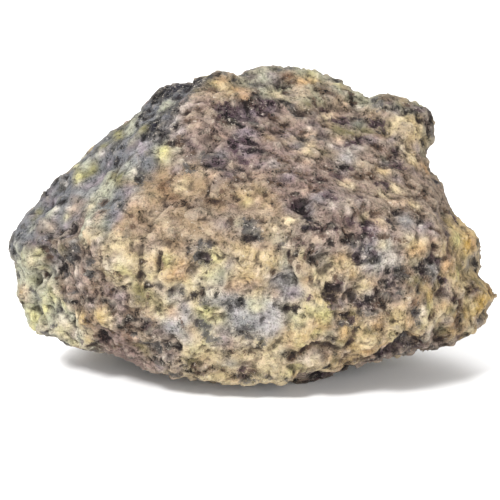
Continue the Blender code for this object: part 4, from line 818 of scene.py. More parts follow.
lay("olive", (304, 325, 2.4, 3), (353, 314, 3, 5), (336, 361, 4, 4), (299, 369, 6, 1.2, 38),
    (290, 368, 4, 2.5, 20), (294, 374, 3, 3), (369, 332, 4, 4), (332, 310, 3, 4), (289, 318, 2, 8))
lay("honey", (310, 327, 5, 5), (343, 335, 5, 7), (366, 345, 12, 8, 10), (376, 329, 5, 5), (356, 350, 7, 4),
    (294, 345, 5, 6), (305, 333, 5, 4))
lay("butter", (304, 343, 7, 5), (305, 319, 4, 8), (325, 333, 4, 4), (368, 350, 8, 5), (360, 341, 5, 5),
    (309, 366, 5, 5), (305, 373, 7, 4, 20), (320, 306, 5, 3), (373, 340, 5, 6), (297, 331, 5, 5))
lay("lemon", (324, 311, 6, 6), (310, 310, 6, 5), (303, 346, 5, 3), (316, 334, 5, 4), (300, 322, 4, 6),
    (296, 366, 5, 4), (324, 320, 6, 4), (288, 375, 3, 3), (297, 340, 4, 4))
lay("apricot", (317, 324, 5, 4), (315, 319, 4, 3), (322, 328, 4, 4), (344, 340, 4, 4), (369, 353, 7, 3),
    (295, 378, 4, 2.6), (379, 326, 5, 5))
lay("gold", (344, 333, 3, 6), (350, 348, 4, 3), (302, 340, 5, 3))
lay("peach", (289, 346, 3, 6), (308, 341, 4, 3), (312, 331, 4, 3), (374, 351, 5, 3), (303, 380, 6, 2, 10),
    (335, 371, 5, 2, 20), (292, 340, 3, 4), (372, 357, 6, 2), (318, 341, 7, 2, -8))
lay("mint", (296, 316, 5, 6), (331, 331, 3, 4), (341, 347, 6, 2.5), (328, 340, 4, 3), (317, 356, 3, 2.4),
    (283, 352, 3, 6), (298, 326, 3, 5))
lay("sand", (300, 329, 5, 4), (300, 378, 6, 3, 10), (310, 371, 5, 4), (327, 337, 6, 2, -10),
    (333, 346, 5, 2.6, -10), (298, 360, 5, 4, 30), (336, 336, 3, 4), (289, 363, 5, 3))
lay("moss", (331, 336, 3, 4), (340, 343, 4, 3), (311, 315, 3, 4))
lay("chalk", (323, 340, 5, 1.8, -20), (311, 321, 3, 4), (306, 361, 3, 4), (300, 312, 4, 3, -30),
    (370, 323, 3, 4), (318, 308, 3, 2.4), (309, 358, 3, 3))
lay("rose", (306, 356, 4, 3), (336, 331, 2.6, 5), (338, 368, 3, 1.6, 20), (328, 350, 6, 3), (290, 381, 4, 2),
    (312, 347, 4, 2), (345, 352, 5, 2.5), (353, 357, 6, 1.5))
lay("mauve", (323, 359, 4, 3), (338, 327, 4, 4), (362, 320, 3, 4), (334, 317, 3, 4), (381, 311, 4, 3))
lay("lilac", (366, 310, 3.5, 6, -15), (315, 351, 4, 3), (375, 316, 4, 3))
lay("slate", (321, 350, 3, 3), (340, 306, 5, 3))
lay("taupe", (333, 322, 3, 5), (341, 361, 3, 5), (330, 352, 5, 4), (347, 355, 5, 3), (352, 330, 3, 4))
lay("rust", (323, 356, 2.5, 4), (329, 328, 1.6, 3))
lay("fawn", (336, 321, 3, 4), (318, 369, 2, 4, -20), (341, 371, 3, 1.4, 20))
print(count(), "patches so far")

# %% Patches of the lumps on the right and the edge below them
lay("coal", (397, 340, 4, 1.6, 20), (419, 342, 7, 2, 5), (445, 347, 5, 1.5, 22), (484, 314, 1.8, 3.5),
    (466, 336, 4.5, 3.2, 25), (395, 352, 3, 2), (419, 338, 2.4, 1.1), (430, 346, 3, 2),
    (437, 349, 6, 1.5, 22), (314, 374, 7, 3.5, 10), (299, 381, 6, 2), (338, 372, 6, 2, 15))
lay("umber", (388, 313, 2.5, 2.4), (397, 334, 2, 2), (432, 317.5, 3.2, 1.7, 25), (457, 308, 2.6, 3),
    (440, 338, 8, 2, 12), (428, 343, 5, 2), (461, 303, 1.6, 5.5), (472, 292, 2.4, 2), (460, 316, 2.6, 2.6),
    (458, 325, 2, 4, 15), (461, 322, 2, 2), (459, 338, 7, 1.6, 15), (413, 340, 2, 1.6),
    (436, 337, 5, 1.4, 10), (435, 313, 1.3, 3), (431, 352, 6, 1.2), (455, 344, 6, 1, 20))
lay("ink", (400, 343, 9, 3, 5), (480, 318, 2.6, 4), (410, 344, 6, 2), (464, 336, 3, 2, 20))
lay("plum", (392, 345, 6, 2.6, 15), (385, 351, 6, 2.6, 10), (458, 337, 5, 1.8, 15), (416, 346, 5, 2.5),
    (405, 347, 5, 2), (389, 352, 3, 1.8))
lay("graphite", (403, 334, 4, 3), (402, 337, 5, 2.5), (418, 314, 2, 7), (433, 347, 5, 3.5, 10),
    (404, 354, 5, 2), (420, 324, 1.8, 3), (415, 312, 3, 3), (408, 345, 3, 3), (421, 353, 5, 1.2))
lay("bark", (390, 316, 3, 4), (383, 323, 2.6, 5), (412, 330, 3, 4), (423, 350, 6, 3), (391, 349, 7, 2.4, 10),
    (446, 334, 3, 3), (460, 328, 3, 4), (470, 297, 3, 2), (380, 330, 4, 2.6), (457, 302, 3, 4),
    (462, 311, 4, 3), (435, 341, 6, 2, 10), (465, 293, 6, 2.5), (412, 347, 4, 3), (484, 304, 1, 5, -30))
lay("olive", (412, 340, 2.6, 2), (439, 325, 2, 2.4, -20), (436, 333, 5, 2.5, 10), (405, 329, 2.4, 2),
    (454, 309, 2, 4), (462, 318, 5, 4), (430, 318, 3, 2, 20), (445, 331, 4, 3), (395, 327, 4, 1.4, 20),
    (379, 345, 2, 3))
lay("rust", (456, 323, 3, 6), (454, 328, 4, 4), (477, 315, 5, 1.8, 25), (471, 321, 3, 3), (494, 291, 2.4, 3),
    (408, 334, 3, 3), (417, 303, 3, 3), (382, 326, 3, 4))
lay("honey", (376, 317, 6, 5), (404, 323, 5, 4), (470, 303, 5, 8), (467, 323, 6, 5), (455, 334, 3, 2.4),
    (395, 315, 5, 4), (434, 298, 5, 4), (415, 336, 4, 4))
lay("gold", (480, 303, 6, 7), (487, 302, 6, 6, 20), (491, 296, 3, 5), (475, 312, 4, 4), (483, 309, 4, 4, 20),
    (430, 298, 4, 3), (467, 312, 4, 2.4), (489, 290, 4, 4))
lay("lemon", (430, 311, 5, 7), (436, 323, 5, 5), (391, 339, 4, 4), (425, 326, 5, 5), (474, 315, 3, 2),
    (390, 320, 3, 5))
lay("butter", (400, 325, 7, 4), (424, 319, 5, 7), (417, 334, 5, 4), (442, 312, 4, 4), (390, 332, 5, 5),
    (468, 299, 4, 6), (433, 306, 4, 4), (473, 307, 4, 5))
lay("chalk", (429, 331, 4, 6, -15), (443, 315, 3, 3), (423, 311, 4, 6), (436, 321, 4, 4),
    (396, 339, 3.5, 1.4, 30), (436, 300, 2.6, 2.6), (428, 327, 4, 3), (446, 327, 1.5, 2), (388, 307, 1.4, 4))
lay("rose", (465, 330, 5, 1.8, 25), (475, 293, 4, 2.6), (441, 344, 5, 2, 15), (411, 311, 3, 3),
    (463, 306, 2, 6), (432, 336, 4, 4))
lay("peach", (398, 305, 6, 3), (385, 340, 6, 3.4), (386, 346, 6, 2.6, 15), (438, 306, 4, 3),
    (414, 342, 3, 1.8), (477, 321, 3, 5), (401, 352, 1.4, 4), (463, 299, 2.4, 5), (420, 336, 4, 3),
    (409, 326, 4, 4))
lay("apricot", (441, 307, 5, 4), (384, 345, 5, 2.6), (436, 309, 3, 3), (448, 305, 4, 3), (410, 320, 3, 4))
lay("tan", (414, 325, 5, 5), (412, 331, 4, 4), (480, 292, 6, 3), (464, 325, 4, 4), (467, 318, 4, 3),
    (387, 318, 4, 4), (451, 325, 3, 4))
lay("sand", (409, 318, 4, 6), (388, 327, 5, 4), (440, 328, 5, 4), (420, 329, 5, 5), (433, 325, 4, 4),
    (411, 300, 4, 4), (386, 336, 6, 3), (415, 351, 4, 2), (446, 299, 4, 3))
lay("lilac", (446, 322, 5, 4), (450, 300, 4, 4), (397, 297, 4, 3), (433, 330, 3, 4), (476, 320, 2.4, 3),
    (454, 341, 3.4, 1.5, 15), (444, 296, 4, 3))
lay("ice", (446, 319, 4, 3), (479, 324, 4, 2.6, 20), (471, 296, 3, 1.6), (371, 296, 4, 1.6))
lay("mint", (471, 331, 3.4, 2, 25), (412, 315, 4, 4), (455, 306, 3, 3), (402, 331, 3, 2), (428, 336, 3, 3))
lay("sage", (440, 329, 4, 3), (453, 314, 3, 4), (473, 324, 4, 2, 30))
lay("moss", (400, 314, 5, 2), (391, 334, 4, 3), (443, 333, 4, 2), (426, 308, 3, 4), (449, 308, 3, 3))
lay("mauve", (420, 347, 5, 3), (388, 354, 6, 2), (399, 352, 3, 2.6), (417, 318, 3, 6), (441, 346, 5, 1.5, 15),
    (383, 350, 4, 2), (425, 300, 4, 4), (478, 297, 3, 2))
lay("slate", (482, 320, 2.6, 4), (470, 328, 3, 2, 20), (407, 339, 4, 2))
lay("taupe", (415, 349, 5, 3), (436, 344, 5, 2, 10), (456, 296, 5, 4), (423, 299, 4, 4), (404, 341, 4, 2),
    (431, 341, 4, 2), (461, 296, 4, 4))
lay("fawn", (410, 309, 4, 4), (395, 302, 4, 4), (418, 322, 3, 4), (427, 296, 5, 3), (398, 330, 4, 2),
    (455, 298, 4, 4))
print(count(), "patches so far")

# %% [markdown]
# ## From the picture to the stone
# A patch named in the picture lies where the camera's sight line meets the stone. There it becomes a small
# ellipsoid, and whatever part of the surface it holds is that mineral. An ellipsoid has a true place in
# space, so the patch also looks right from the side. For the far side the plan is turned half round and
# looked at from behind.

# %% Sight lines
STONE_MIDDLE = (250, 240)
PULLS_INWARD = (0.0, 0.01, 0.02, 0.035, 0.05)


def sight_line(column, row):
    """The direction in which the camera sees a place in the picture."""
    aim = into_axis * focal + across_axis * (column - PICTURE / 2) - up_axis * (row - PICTURE / 2)
    return aim.normalized()


def first_meeting(start, direction):
    """Where a line first meets the stone, in millimetres, or None if it misses."""
    hit = tree.ray_cast(start, direction)[0]
    return None if hit is None else hit / MM


def on_stone(column, row):
    """The point of the stone that shows at a place in the picture, or None beside the stone."""
    return first_meeting(camera.location, sight_line(column, row))


def nearest_on_stone(column, row):
    """As on_stone, but a place just beside the stone is drawn in towards its middle until it meets it."""
    for pull in PULLS_INWARD:
        hit = on_stone(column + (STONE_MIDDLE[0] - column) * pull, row + (STONE_MIDDLE[1] - row) * pull)
        if hit is not None:
            return hit
    return None


def far_side(column, row):
    """The point at the back of the stone, opposite a place in the picture, or None beside the stone."""
    aim = sight_line(LEFT + RIGHT - column, TOP + BOTTOM - row)
    return first_meeting(camera.location + aim * 2 * CAMERA_DISTANCE, -aim)


print("the stone's middle is seen at", [round(c, 1) for c in on_stone(*STONE_MIDDLE)], "mm")

# %% [markdown]
# ## Bent places
# Nothing in nature has a smooth edge, so the ellipsoids are asked for a bent place and not for the true one.
# It wanders by about a millimetre, and is then pulled towards the middle of the grain that it lies in, so
# that a patch ends where a grain ends.

# %% Wandering numbers and grains
BENDS = [(3.6, 0.8, 1.0), (1.4, 0.5, 2.0)]  # the size and reach of each bend in mm, and its seed
GRAIN = 1.3
GRAIN_PULL = 0.75


def values(size, places, seed, octaves=1):
    """A wandering number from about -1 to 1 at each place, that changes over about this size in mm."""
    start = Vector((3.0 * seed, seed, -seed))
    if octaves == 1:
        return np.array([noise.noise(Vector(place) / size + start) for place in places])
    return np.array([noise.fractal(Vector(place) / size + start, 1.0, 2.0, octaves) for place in places])


def vectors(size, reach, places, seed):
    """A wandering shift at each place, of this reach, that changes over about this size. All in mm."""
    return reach * np.column_stack([values(size, places, seed + 10.0 * axis) for axis in range(3)])


def grains(size, places):
    """The middle of the grain that each place lies in. Grains are packed like the cells of a foam."""
    return np.array([noise.voronoi(Vector(place) / size)[1][0] for place in places]) * size


bent = points.copy()
for size, reach, seed in BENDS:
    bent += vectors(size, reach, points, seed)
grained = bent + GRAIN_PULL * (grains(GRAIN, points) - points)
print("places bent by up to", round(float(np.abs(grained - points).max()), 2), "mm")

# %% [markdown]
# ## The sides that the picture hides
# A point of the net is hidden when it faces away from the camera, or when the stone itself is in the way.
# What is made up for the hidden sides keeps a margin from what the picture shows.

# %% Find the hidden sides
FACING_AWAY = 0.1
CLEAR_OF_NET = 0.8
SEEN_STEP = 40

draw = random.Random(11)
forward = np.array(into_axis)


def in_picture(point, normal):
    """Whether the camera sees this point of the net."""
    if normal @ forward > FACING_AWAY:
        return False
    start = Vector(point) * MM
    away = (camera.location - start).normalized()
    return tree.ray_cast(start + away * CLEAR_OF_NET * MM, away)[0] is None


hidden = np.array([not in_picture(point, normal) for point, normal in zip(points, normals)])
seen_places = points[~hidden][::SEEN_STEP]
seen_tree = KDTree(len(seen_places))
for number, place in enumerate(seen_places):
    seen_tree.insert(place, number)
seen_tree.balance()


def hidden_points(count, margin):
    """Points scattered over the sides that the picture doesn't show, and this far from what it shows."""
    found = []
    while len(found) < count:
        index = draw.randrange(len(points))
        if hidden[index] and np.linalg.norm(seen_places - points[index], axis=1).min() > margin:
            found.append(points[index])
    return found


print("the picture shows", round(float((~hidden).mean()) * 100), "% of the surface")

# %% [markdown]
# ## Grounds over the whole stone
# Every place of a ground pulls on the points round it, and a point's ground is the mix of what pulls on it.
# The far side has the same grounds turned half round, and a few dozen more scattered between them.

# %% Lay the grounds that the picture shows
GROUND_FADE = 2.2

names = list(MINERALS)
mineral_colour = np.array([MINERALS[name][0] for name in names])
mineral_rise = np.array([MINERALS[name][1] for name in names])
mineral_dark = np.array([MINERALS[name][2] for name in names])
mineral_pale = np.array([MINERALS[name][3] for name in names])
pixel_mm = PIXEL / MM
ground_weight = np.full((len(points), len(names)), 1e-12)  # not quite zero, so that it can be shared out


def pull_of(centre, reach, places):
    """How strongly a ground pulls at each place: 1 at its centre and about a tenth at its reach."""
    away = np.linalg.norm(places - np.array(centre), axis=1) / reach
    return np.exp(-GROUND_FADE * away * away)


for name, places in GROUNDS.items():
    for column, row, reach in places:
        centre = nearest_on_stone(column, row)
        ground_weight[:, names.index(name)] += pull_of(centre, reach * pixel_mm, grained)
print("every point has the pull of", len(GROUNDS), "grounds")

# %% Lay the grounds of the far side
FAR_START = 2.0
FAR_RUN = 5.0
MORE_GROUNDS = 40
MORE_GROUNDS_MARGIN = 3.0
MORE_GROUNDS_REACH = (2.5, 5.0)
LEFT_OVER = 0.02

wandering = grained + vectors(9.0, 3.0, points, 3.0)
behind = np.array([seen_tree.find(place)[2] for place in points])
far_share = np.clip((behind - FAR_START) / FAR_RUN, 0.0, 1.0)
far_grounds = [(name, far_side(column, row), reach * pixel_mm)
               for name, places in GROUNDS.items() for column, row, reach in places]
for centre in hidden_points(MORE_GROUNDS, MORE_GROUNDS_MARGIN):
    far_grounds.append((draw.choice(list(GROUNDS)), centre, draw.uniform(*MORE_GROUNDS_REACH)))
for name, centre, reach in far_grounds:
    if centre is not None:
        ground_weight[:, names.index(name)] += pull_of(centre, reach, wandering) * far_share
ground_weight[:, names.index("taupe")] += LEFT_OVER * far_share  # where no ground reaches
ground_weight /= ground_weight.sum(axis=1, keepdims=True)
print(len(far_grounds), "places of ground on the far side")

# %% [markdown]
# ## Patches over the whole stone
# Each patch of the plan becomes an ellipsoid on the near side and, where there is room, a second one on the
# far side. The ends and the underside would still be bare, so a thousand and more are drawn at random from
# the plan and scattered over everything that is hidden.

# %% Turn the plan into ellipsoids
DEEPER = 1.2
FAR_PATCH_MARGIN = 2.2
MORE_PATCHES = 1200
MORE_PATCHES_MARGIN = 2.0

plan = []
for name, places in PATCHES.items():
    for column, row, half_width, half_height, tilt in places:
        turn = Matrix.Rotation(math.radians(-tilt), 3, into_axis)
        sides = (turn @ across_axis, turn @ up_axis, into_axis)
        width, height = half_width * pixel_mm, half_height * pixel_mm
        shape = (width, height, DEEPER * max(width, height))
        plan.append((np.array(nearest_on_stone(column, row)), sides, shape, name))
        far = far_side(column, row)
        if far is not None and seen_tree.find(far)[2] > FAR_PATCH_MARGIN:
            plan.append((np.array(far), sides, shape, name))
planned = plan[:]
for centre in hidden_points(MORE_PATCHES, MORE_PATCHES_MARGIN):
    _, _, shape, name = draw.choice(planned)
    turn = Euler([draw.uniform(0, math.tau) for _ in range(3)]).to_matrix()
    plan.append((centre, tuple(turn.col), shape, name))
plan.sort(key=lambda patch: -patch[2][0] * patch[2][1])
print(len(plan), "patches on the whole stone")

# %% [markdown]
# The patches are laid in order of size, large ones first. Each point remembers which pale patch and which
# dark patch hold it, and how deep inside them it lies. Dark minerals have this layer of their own because the
# shader gives them a ragged edge. A smaller pale patch still covers them.

# %% Lay the patches, large ones first
DARK_MINERALS = ("coal", "ink", "graphite", "plum", "umber")
OUTSIDE = -9.0
FULLY_BENT = 1.2

patch_of = np.full(len(points), -1)
patch_depth = np.full(len(points), OUTSIDE)
patch_centred = np.zeros(len(points))
dark_of = np.full(len(points), -1)
dark_depth = np.full(len(points), OUTSIDE)
for number, (centre, sides, shape, name) in enumerate(plan):
    offset = points - centre
    # a point further off than this is neither in the patch nor near its edge
    near = np.flatnonzero((np.abs(offset) < 2.5 * max(shape) + 1.0).all(axis=1))
    # a patch smaller than the bends would be torn by them, so it is bent less
    offset = offset[near] + (grained - points)[near] * min(1.0, min(shape[:2]) / FULLY_BENT)
    away = np.sqrt(sum((offset @ np.array(side) / half) ** 2 for side, half in zip(sides, shape)))
    depth = (1.0 - away) * min(shape[0], shape[1])
    if name in DARK_MINERALS:
        wins = (depth > 0.0) | (depth > dark_depth[near])
        dark_of[near[wins]] = number
        dark_depth[near[wins]] = np.maximum(depth, dark_depth[near])[wins]
        continue
    covered = depth > 0.0
    dark_depth[near[covered]] = np.minimum(dark_depth[near], -depth)[covered]
    wins = (depth > 0.0) | (depth > patch_depth[near])
    patch_of[near[wins]] = number
    patch_depth[near[wins]] = depth[wins]
    patch_centred[near[wins]] = np.clip(1.0 - away[wins], 0.0, 1.0)
print("they cover", round(float(((patch_depth > 0) | (dark_depth > 0)).mean()) * 100),
      "% of the surface, dark ones", round(float((dark_depth > 0).mean()) * 100), "%")

# %% What the patches leave at each point
PATCH_EDGE = 0.3
DARK_EDGE = 0.5
SEAM = 0.35
LUMP_SIZE = 0.8
LUMP_RISE = 0.12


def soft_inside(depth, edge):
    """From 0 outside a patch to 1 inside it, over an edge of this width in mm."""
    return np.clip(depth / edge + 0.5, 0.0, 1.0)


# the last value of each list stands for a point in no patch, whose number is -1
patch_mineral = np.array([names.index(patch[3]) for patch in plan] + [0])[patch_of]
dark_mineral = np.array([names.index(patch[3]) for patch in plan] + [0])[dark_of]
patch_size = np.array([min(patch[2][:2]) for patch in plan] + [0.0])[patch_of]
inside = soft_inside(patch_depth, PATCH_EDGE)
in_dark = soft_inside(dark_depth, DARK_EDGE)
dark_share = ground_weight @ mineral_dark
pale_share = ground_weight @ mineral_pale
for mineral, held in ((patch_mineral, inside), (dark_mineral, in_dark)):
    dark_share += (mineral_dark[mineral] - dark_share) * held
    pale_share += (mineral_pale[mineral] - pale_share) * held
rise = mineral_rise[patch_mineral]
is_lump = rise > LUMP_RISE
seam = np.clip(1.0 - np.abs(patch_depth) / SEAM, 0.0, 1.0) * (patch_size > LUMP_SIZE) * is_lump
print("seams round lumps on", round(float((seam > 0).mean()) * 100), "% of the surface")

# %% [markdown]
# ## Relief
# The rock broke along small planes. In the lower band lumps lie side by side with creases between them, and
# on the upper face thin layers come out as streaks. The tan plate, the grey left face and the lumps
# themselves are calmer than the rest. Feldspar stands a little proud, and dark grains weathered back. Each of
# these is a height in millimetres, and they add up.

# %% Planes, creases and layers
FOLIATION = Vector((-0.32, -0.94, -0.12)).normalized()  # the direction in which the layers are stacked
LAYER = 0.9
LAYER_RUN = 10.0


def planes(size, places, seed):
    """Height of a skin of small tilted planes with steps between them."""
    start = Vector((seed, 2.0 * seed, -seed))
    paces = (7.3, 8.9, 5.7)  # they only have to differ, so that a plane leans its own way
    heights = np.empty(len(places))
    for i, place in enumerate(places):
        spot = Vector(place) / size + start
        near = noise.voronoi(spot)[1][0]
        tilt = Vector([noise.noise(near * pace) for pace in paces])
        heights[i] = tilt.dot(spot - near) + 0.3 * noise.noise(near * 3.1)
    return heights


def creases(size, places, seed, width=0.9):
    """Depth of the sharp creases between lumps packed side by side. Size and width are in mm."""
    start = Vector((-seed, seed, 2.0 * seed))
    gaps = [noise.voronoi(Vector(place) / size + start)[0][:2] for place in places]
    return -np.array([max(0.0, 1.0 - (second - first) / (width / size)) for first, second in gaps])


def layers(places):
    """Height of thin layers that are cut across by the surface."""
    stacked = places @ np.array(FOLIATION) / LAYER
    return np.array([noise.noise(Vector((along, side, 5.0))) for along, side in
                     zip(stacked, places[:, 0] / LAYER_RUN)])


def ground_share(shares):
    """How much of the ground at each point is of these kinds."""
    return sum(share * ground_weight[:, names.index(name)] for name, share in shares.items())


# %% Add up the relief
LUMPY = {"honey": 1.0, "butter": 1.0, "taupe": 1.0, "mint": 1.0}
CALM = {"tan": 1.0, "slate": 1.0, "ice": 1.0, "honey": 0.6, "butter": 0.6}
STREAKY = {"rose": 1.0, "plum": 1.0, "fawn": 1.0}
# size in mm, places, seed, height in mm, and how much lower where the ground is calm
PLANES = [(4.2, bent, 1.0, 0.90, 0.0), (2.1, bent, 2.0, 0.70, 0.7), (1.2, points, 6.0, 0.42, 0.5)]
# size in mm, seed, depth in mm, and the share of it that is left where the ground isn't lumpy
CREASES = [(2.9, 3.0, 0.20, 0.2), (5.2, 7.0, 0.32, 0.0)]
ROUGHNESS_SIZE = 2.6
ROUGHNESS = 0.30
LAYER_HEIGHT = 0.34
DARK_SETBACK = 0.12
SEAM_DEPTH = 0.16
PROUD = 0.6

lumpy = ground_share(LUMPY)
calm = np.maximum(ground_share(CALM), np.clip(patch_depth / 0.6, 0.0, 1.0) * is_lump)
for _ in range(3):
    lumpy, calm = [(share + neighbours_mean(share)) / 2 for share in (lumpy, calm)]

relief = np.zeros(len(points))
for size, places, seed, height, calmed in PLANES:
    relief += height * planes(size, places, seed) * (1.0 - calmed * calm)
for size, seed, depth, least in CREASES:
    relief += depth * creases(size, bent, seed) * (least + lumpy)
relief += ROUGHNESS * values(ROUGHNESS_SIZE, points, 4.0, octaves=5) * (1.0 - 0.5 * calm)
relief += LAYER_HEIGHT * layers(bent) * (0.2 + ground_share(STREAKY))
relief -= DARK_SETBACK * soft_inside(dark_depth, 0.4)
relief -= SEAM_DEPTH * seam
dome = np.sqrt(np.clip(patch_centred * 1.6, 0.0, 1.0))
relief += np.where(patch_depth > 0.0, PROUD * rise * dome, 0.0)
print("relief from", round(float(relief.min()), 2), "to", round(float(relief.max()), 2), "mm")

# %% [markdown]
# ## Cracks and pits
# The deepest marks are named one by one: cracks that open and close between the lumps, and pits where a grain
# fell out. The hidden sides have pits at random. Near the table all relief fades out, so that the facet the
# stone rests on stays flat.

# %% Places of the cracks and pits
# a crack is its width and depth in mm and its corners in the picture
CRACKS = [
    (0.5, 0.9, [(141, 260), (142, 268), (140, 275), (136, 282)]),
    (0.6, 1.2, [(160, 253), (158, 262), (157, 270), (155, 277)]),
    (0.4, 0.7, [(122, 289), (129, 285), (137, 282), (146, 286), (155, 285), (166, 289), (174, 291)]),
    (0.6, 1.2, [(289, 359), (296, 353), (305, 351), (311, 344), (319, 345), (329, 347), (341, 351)]),
    (0.4, 0.8, [(341, 351), (348, 346), (354, 338), (360, 326)]),
    (0.4, 0.8, [(341, 351), (348, 357), (362, 359), (377, 354)]),
    (0.5, 0.9, [(380, 355), (398, 348), (420, 345), (444, 338), (462, 331)]),
    (0.5, 0.9, [(452, 288), (459, 297), (460, 308), (466, 313)]),
    (0.4, 0.7, [(47, 255), (53, 264), (54, 275)]),
    (0.4, 0.6, [(60, 312), (66, 316), (70, 324)]),
    (0.4, 0.7, [(372, 101), (386, 107), (403, 113), (417, 117), (424, 128), (426, 146)]),
    (0.5, 0.9, [(288, 253), (290, 268), (296, 283)]),
]
# a pit is its column, row and radius in the picture, and its depth in mm
PITS = [
    (73, 229, 5, 1.6), (177, 348, 4, 1.3), (103, 338, 8, 1.4), (87, 322, 3, 1.2), (119, 279, 3, 0.9),
    (241, 168, 3, 0.9), (158, 236, 1.5, 0.5), (175, 236, 1.5, 0.5), (175, 254, 1.5, 0.5), (61, 202, 4, 0.9),
    (422, 268, 5, 1.0), (438, 279, 4, 1.1), (435, 246, 3, 0.8), (450, 250, 3, 0.8),
    (333, 293, 7, 0.7), (98, 204, 1.5, 0.6), (127, 183, 1.8, 0.6), (336, 80, 3, 0.5), (418, 137, 2, 0.6),
    (322, 371, 8, 1.2), (393, 344, 8, 1.0), (283, 312, 4, 0.6), (204, 252, 6, 0.6), (305, 331, 1.6, 0.5),
    (50, 248, 5, 0.7), (254, 168, 3, 0.6), (384, 128, 3, 0.6),
]
print(len(CRACKS), "cracks and", len(PITS), "pits")

# %% Cut the cracks and pits
CRACK_SPREAD = 1.3
PIT_SPREAD = 1.15
PIT_DEPTH = 0.35
MORE_PITS = 70
MORE_PITS_MARGIN = 1.0
MORE_PITS_RADIUS = (0.5, 1.8)
MORE_PITS_DEPTH = 0.4
FADE_HEIGHT = 1.5


def bowl(centre, radius):
    """A round hollow: 1 at its middle and 0 from its rim outwards."""
    away = np.linalg.norm(bent - centre, axis=1) / radius
    return np.sqrt(np.clip(1.0 - away * away, 0.0, 1.0))


shade = np.zeros(len(points))
opening = np.clip(0.75 + 1.6 * values(1.6, points, 9.0), 0.0, 1.0)
for width, depth, corners in CRACKS:
    line = [np.array(nearest_on_stone(*corner)) for corner in corners]
    for start, end in zip(line[:-1], line[1:]):
        run = end - start
        share = np.clip((bent - start) @ run / (run @ run), 0.0, 1.0)
        away = np.linalg.norm(0.35 * bent + 0.65 * points - start - share[:, None] * run, axis=1)
        cut = np.clip(1.0 - away / (CRACK_SPREAD * width), 0.0, 1.0) * opening
        relief = np.minimum(relief, relief * (1.0 - cut) - depth * cut)
        shade = np.maximum(shade, cut)
for column, row, radius, depth in PITS:
    pit = bowl(np.array(nearest_on_stone(column, row)), radius * pixel_mm * PIT_SPREAD)
    relief -= PIT_DEPTH * depth * pit
    shade = np.maximum(shade, 0.3 * pit)
for centre in hidden_points(MORE_PITS, MORE_PITS_MARGIN):
    radius = draw.uniform(*MORE_PITS_RADIUS)
    pit = bowl(centre, radius)
    relief -= MORE_PITS_DEPTH * radius * pit
    shade = np.maximum(shade, 0.4 * pit)
print("deepest mark", round(float(relief.min()), 2), "mm")

# %% Raise the skin
relief *= np.clip(points[:, 2] / FADE_HEIGHT, 0.0, 1.0)
skin = points + normals * relief[:, None]
skin[:, 2] = np.maximum(skin[:, 2], 0.0)
stone.data.vertices.foreach_set("co", (skin * MM).ravel())
stone.data.update()
print("the stone is now", round(float(skin[:, 2].max()), 2), "mm high")

# %% [markdown]
# ## Hollows and edges
# Dust and weathering gather in hollows, and shade falls there, so hollows get dust and painted shade. Each
# point is compared with the middle of its neighbours: below them is a hollow, above them an edge that is
# rubbed bright.

# %% Measure the hollows and edges
HOLLOW_SMOOTHING = 6

skin, skin_normals = read_net()
smooth = skin.copy()
for _ in range(HOLLOW_SMOOTHING):
    smooth = neighbours_mean(smooth)
hollow = np.einsum("ij,ij->i", smooth - skin, skin_normals)
print("hollows up to", round(float(hollow.max()), 2), "mm deep, edges up to", round(float(-hollow.min()), 2))

# %% [markdown]
# ## Colours on the net
# The colours of grounds and patches are stored on the net's points, and the shader reads them there. The
# light and dark of a grain end sharply, but its hue is stained by what lies round it, so hues are smoothed
# further than tones. A thin dull film lies over the weathered faces, mostly the crust and the upper face.

# %% Store what the material needs
TONE_SMOOTHING = 1
HUE_SMOOTHING = 10
HUE_STRENGTH = 1.05
LIGHTNESS = np.array((0.21, 0.72, 0.07))  # how much red, green and blue add to lightness
FILM = np.array((0.78, 0.77, 0.80))
FILM_SHARE = {"rose": 1.0, "plum": 1.0, "graphite": 1.2, "tan": 0.6, "fawn": 0.3, "butter": 0.6,
              "honey": 0.5, "ice": 0.3}
PATCH_TONES = (0.93, 1.07)
DARK_UNDERCOAT = 0.5


def keep_number(name, numbers):
    """Store one number a point on the net."""
    layer = stone.data.attributes.new(name, "FLOAT", "POINT")
    layer.data.foreach_set("value", numbers.astype(np.float32))


def keep_colour(name, colours):
    """Store one colour a point on the net."""
    layer = stone.data.attributes.new(name, "FLOAT_COLOR", "POINT")
    opaque = np.column_stack((colours, np.ones(len(colours))))
    layer.data.foreach_set("color", opaque.astype(np.float32).ravel())


def smoothed(colours, times):
    """Colours that have run a little into their neighbours, this many times."""
    for _ in range(times):
        colours = (colours + neighbours_mean(colours)) / 2
    return colours


def weathered(colours):
    """Patch colours as weather leaves them: tones keep an edge, while hues run into each other."""
    colours = smoothed(colours, TONE_SMOOTHING)
    hues = smoothed(colours, HUE_SMOOTHING)
    tones, hue_tones = colours @ LIGHTNESS, hues @ LIGHTNESS
    hues = hue_tones[:, None] + (hues - hue_tones[:, None]) * HUE_STRENGTH
    return np.clip(hues * (tones / hue_tones)[:, None], 0.0, 1.0)


patch_tone = np.array([draw.uniform(*PATCH_TONES) for _ in plan] + [1.0])[patch_of]
patch_colour = mineral_colour[patch_mineral] * patch_tone[:, None]
rock = ground_weight @ mineral_colour
rock += (patch_colour - rock) * inside[:, None]
dark_rock = mineral_colour[dark_mineral]
rock += (dark_rock - rock) * DARK_UNDERCOAT * in_dark[:, None]
rock *= 1.0 - ground_share(FILM_SHARE)[:, None] * (1.0 - FILM)
keep_colour("rock", weathered(rock))
keep_colour("dark_rock", weathered(dark_rock))
keep_number("dark_depth", np.clip(dark_depth, -1.0, 1.0))
keep_number("seam", seam)
keep_number("dark_share", neighbours_mean(dark_share))
keep_number("pale_share", neighbours_mean(pale_share))
keep_number("hollow", hollow)
keep_number("shade", shade)
print("the net carries", [layer.name for layer in stone.data.attributes])

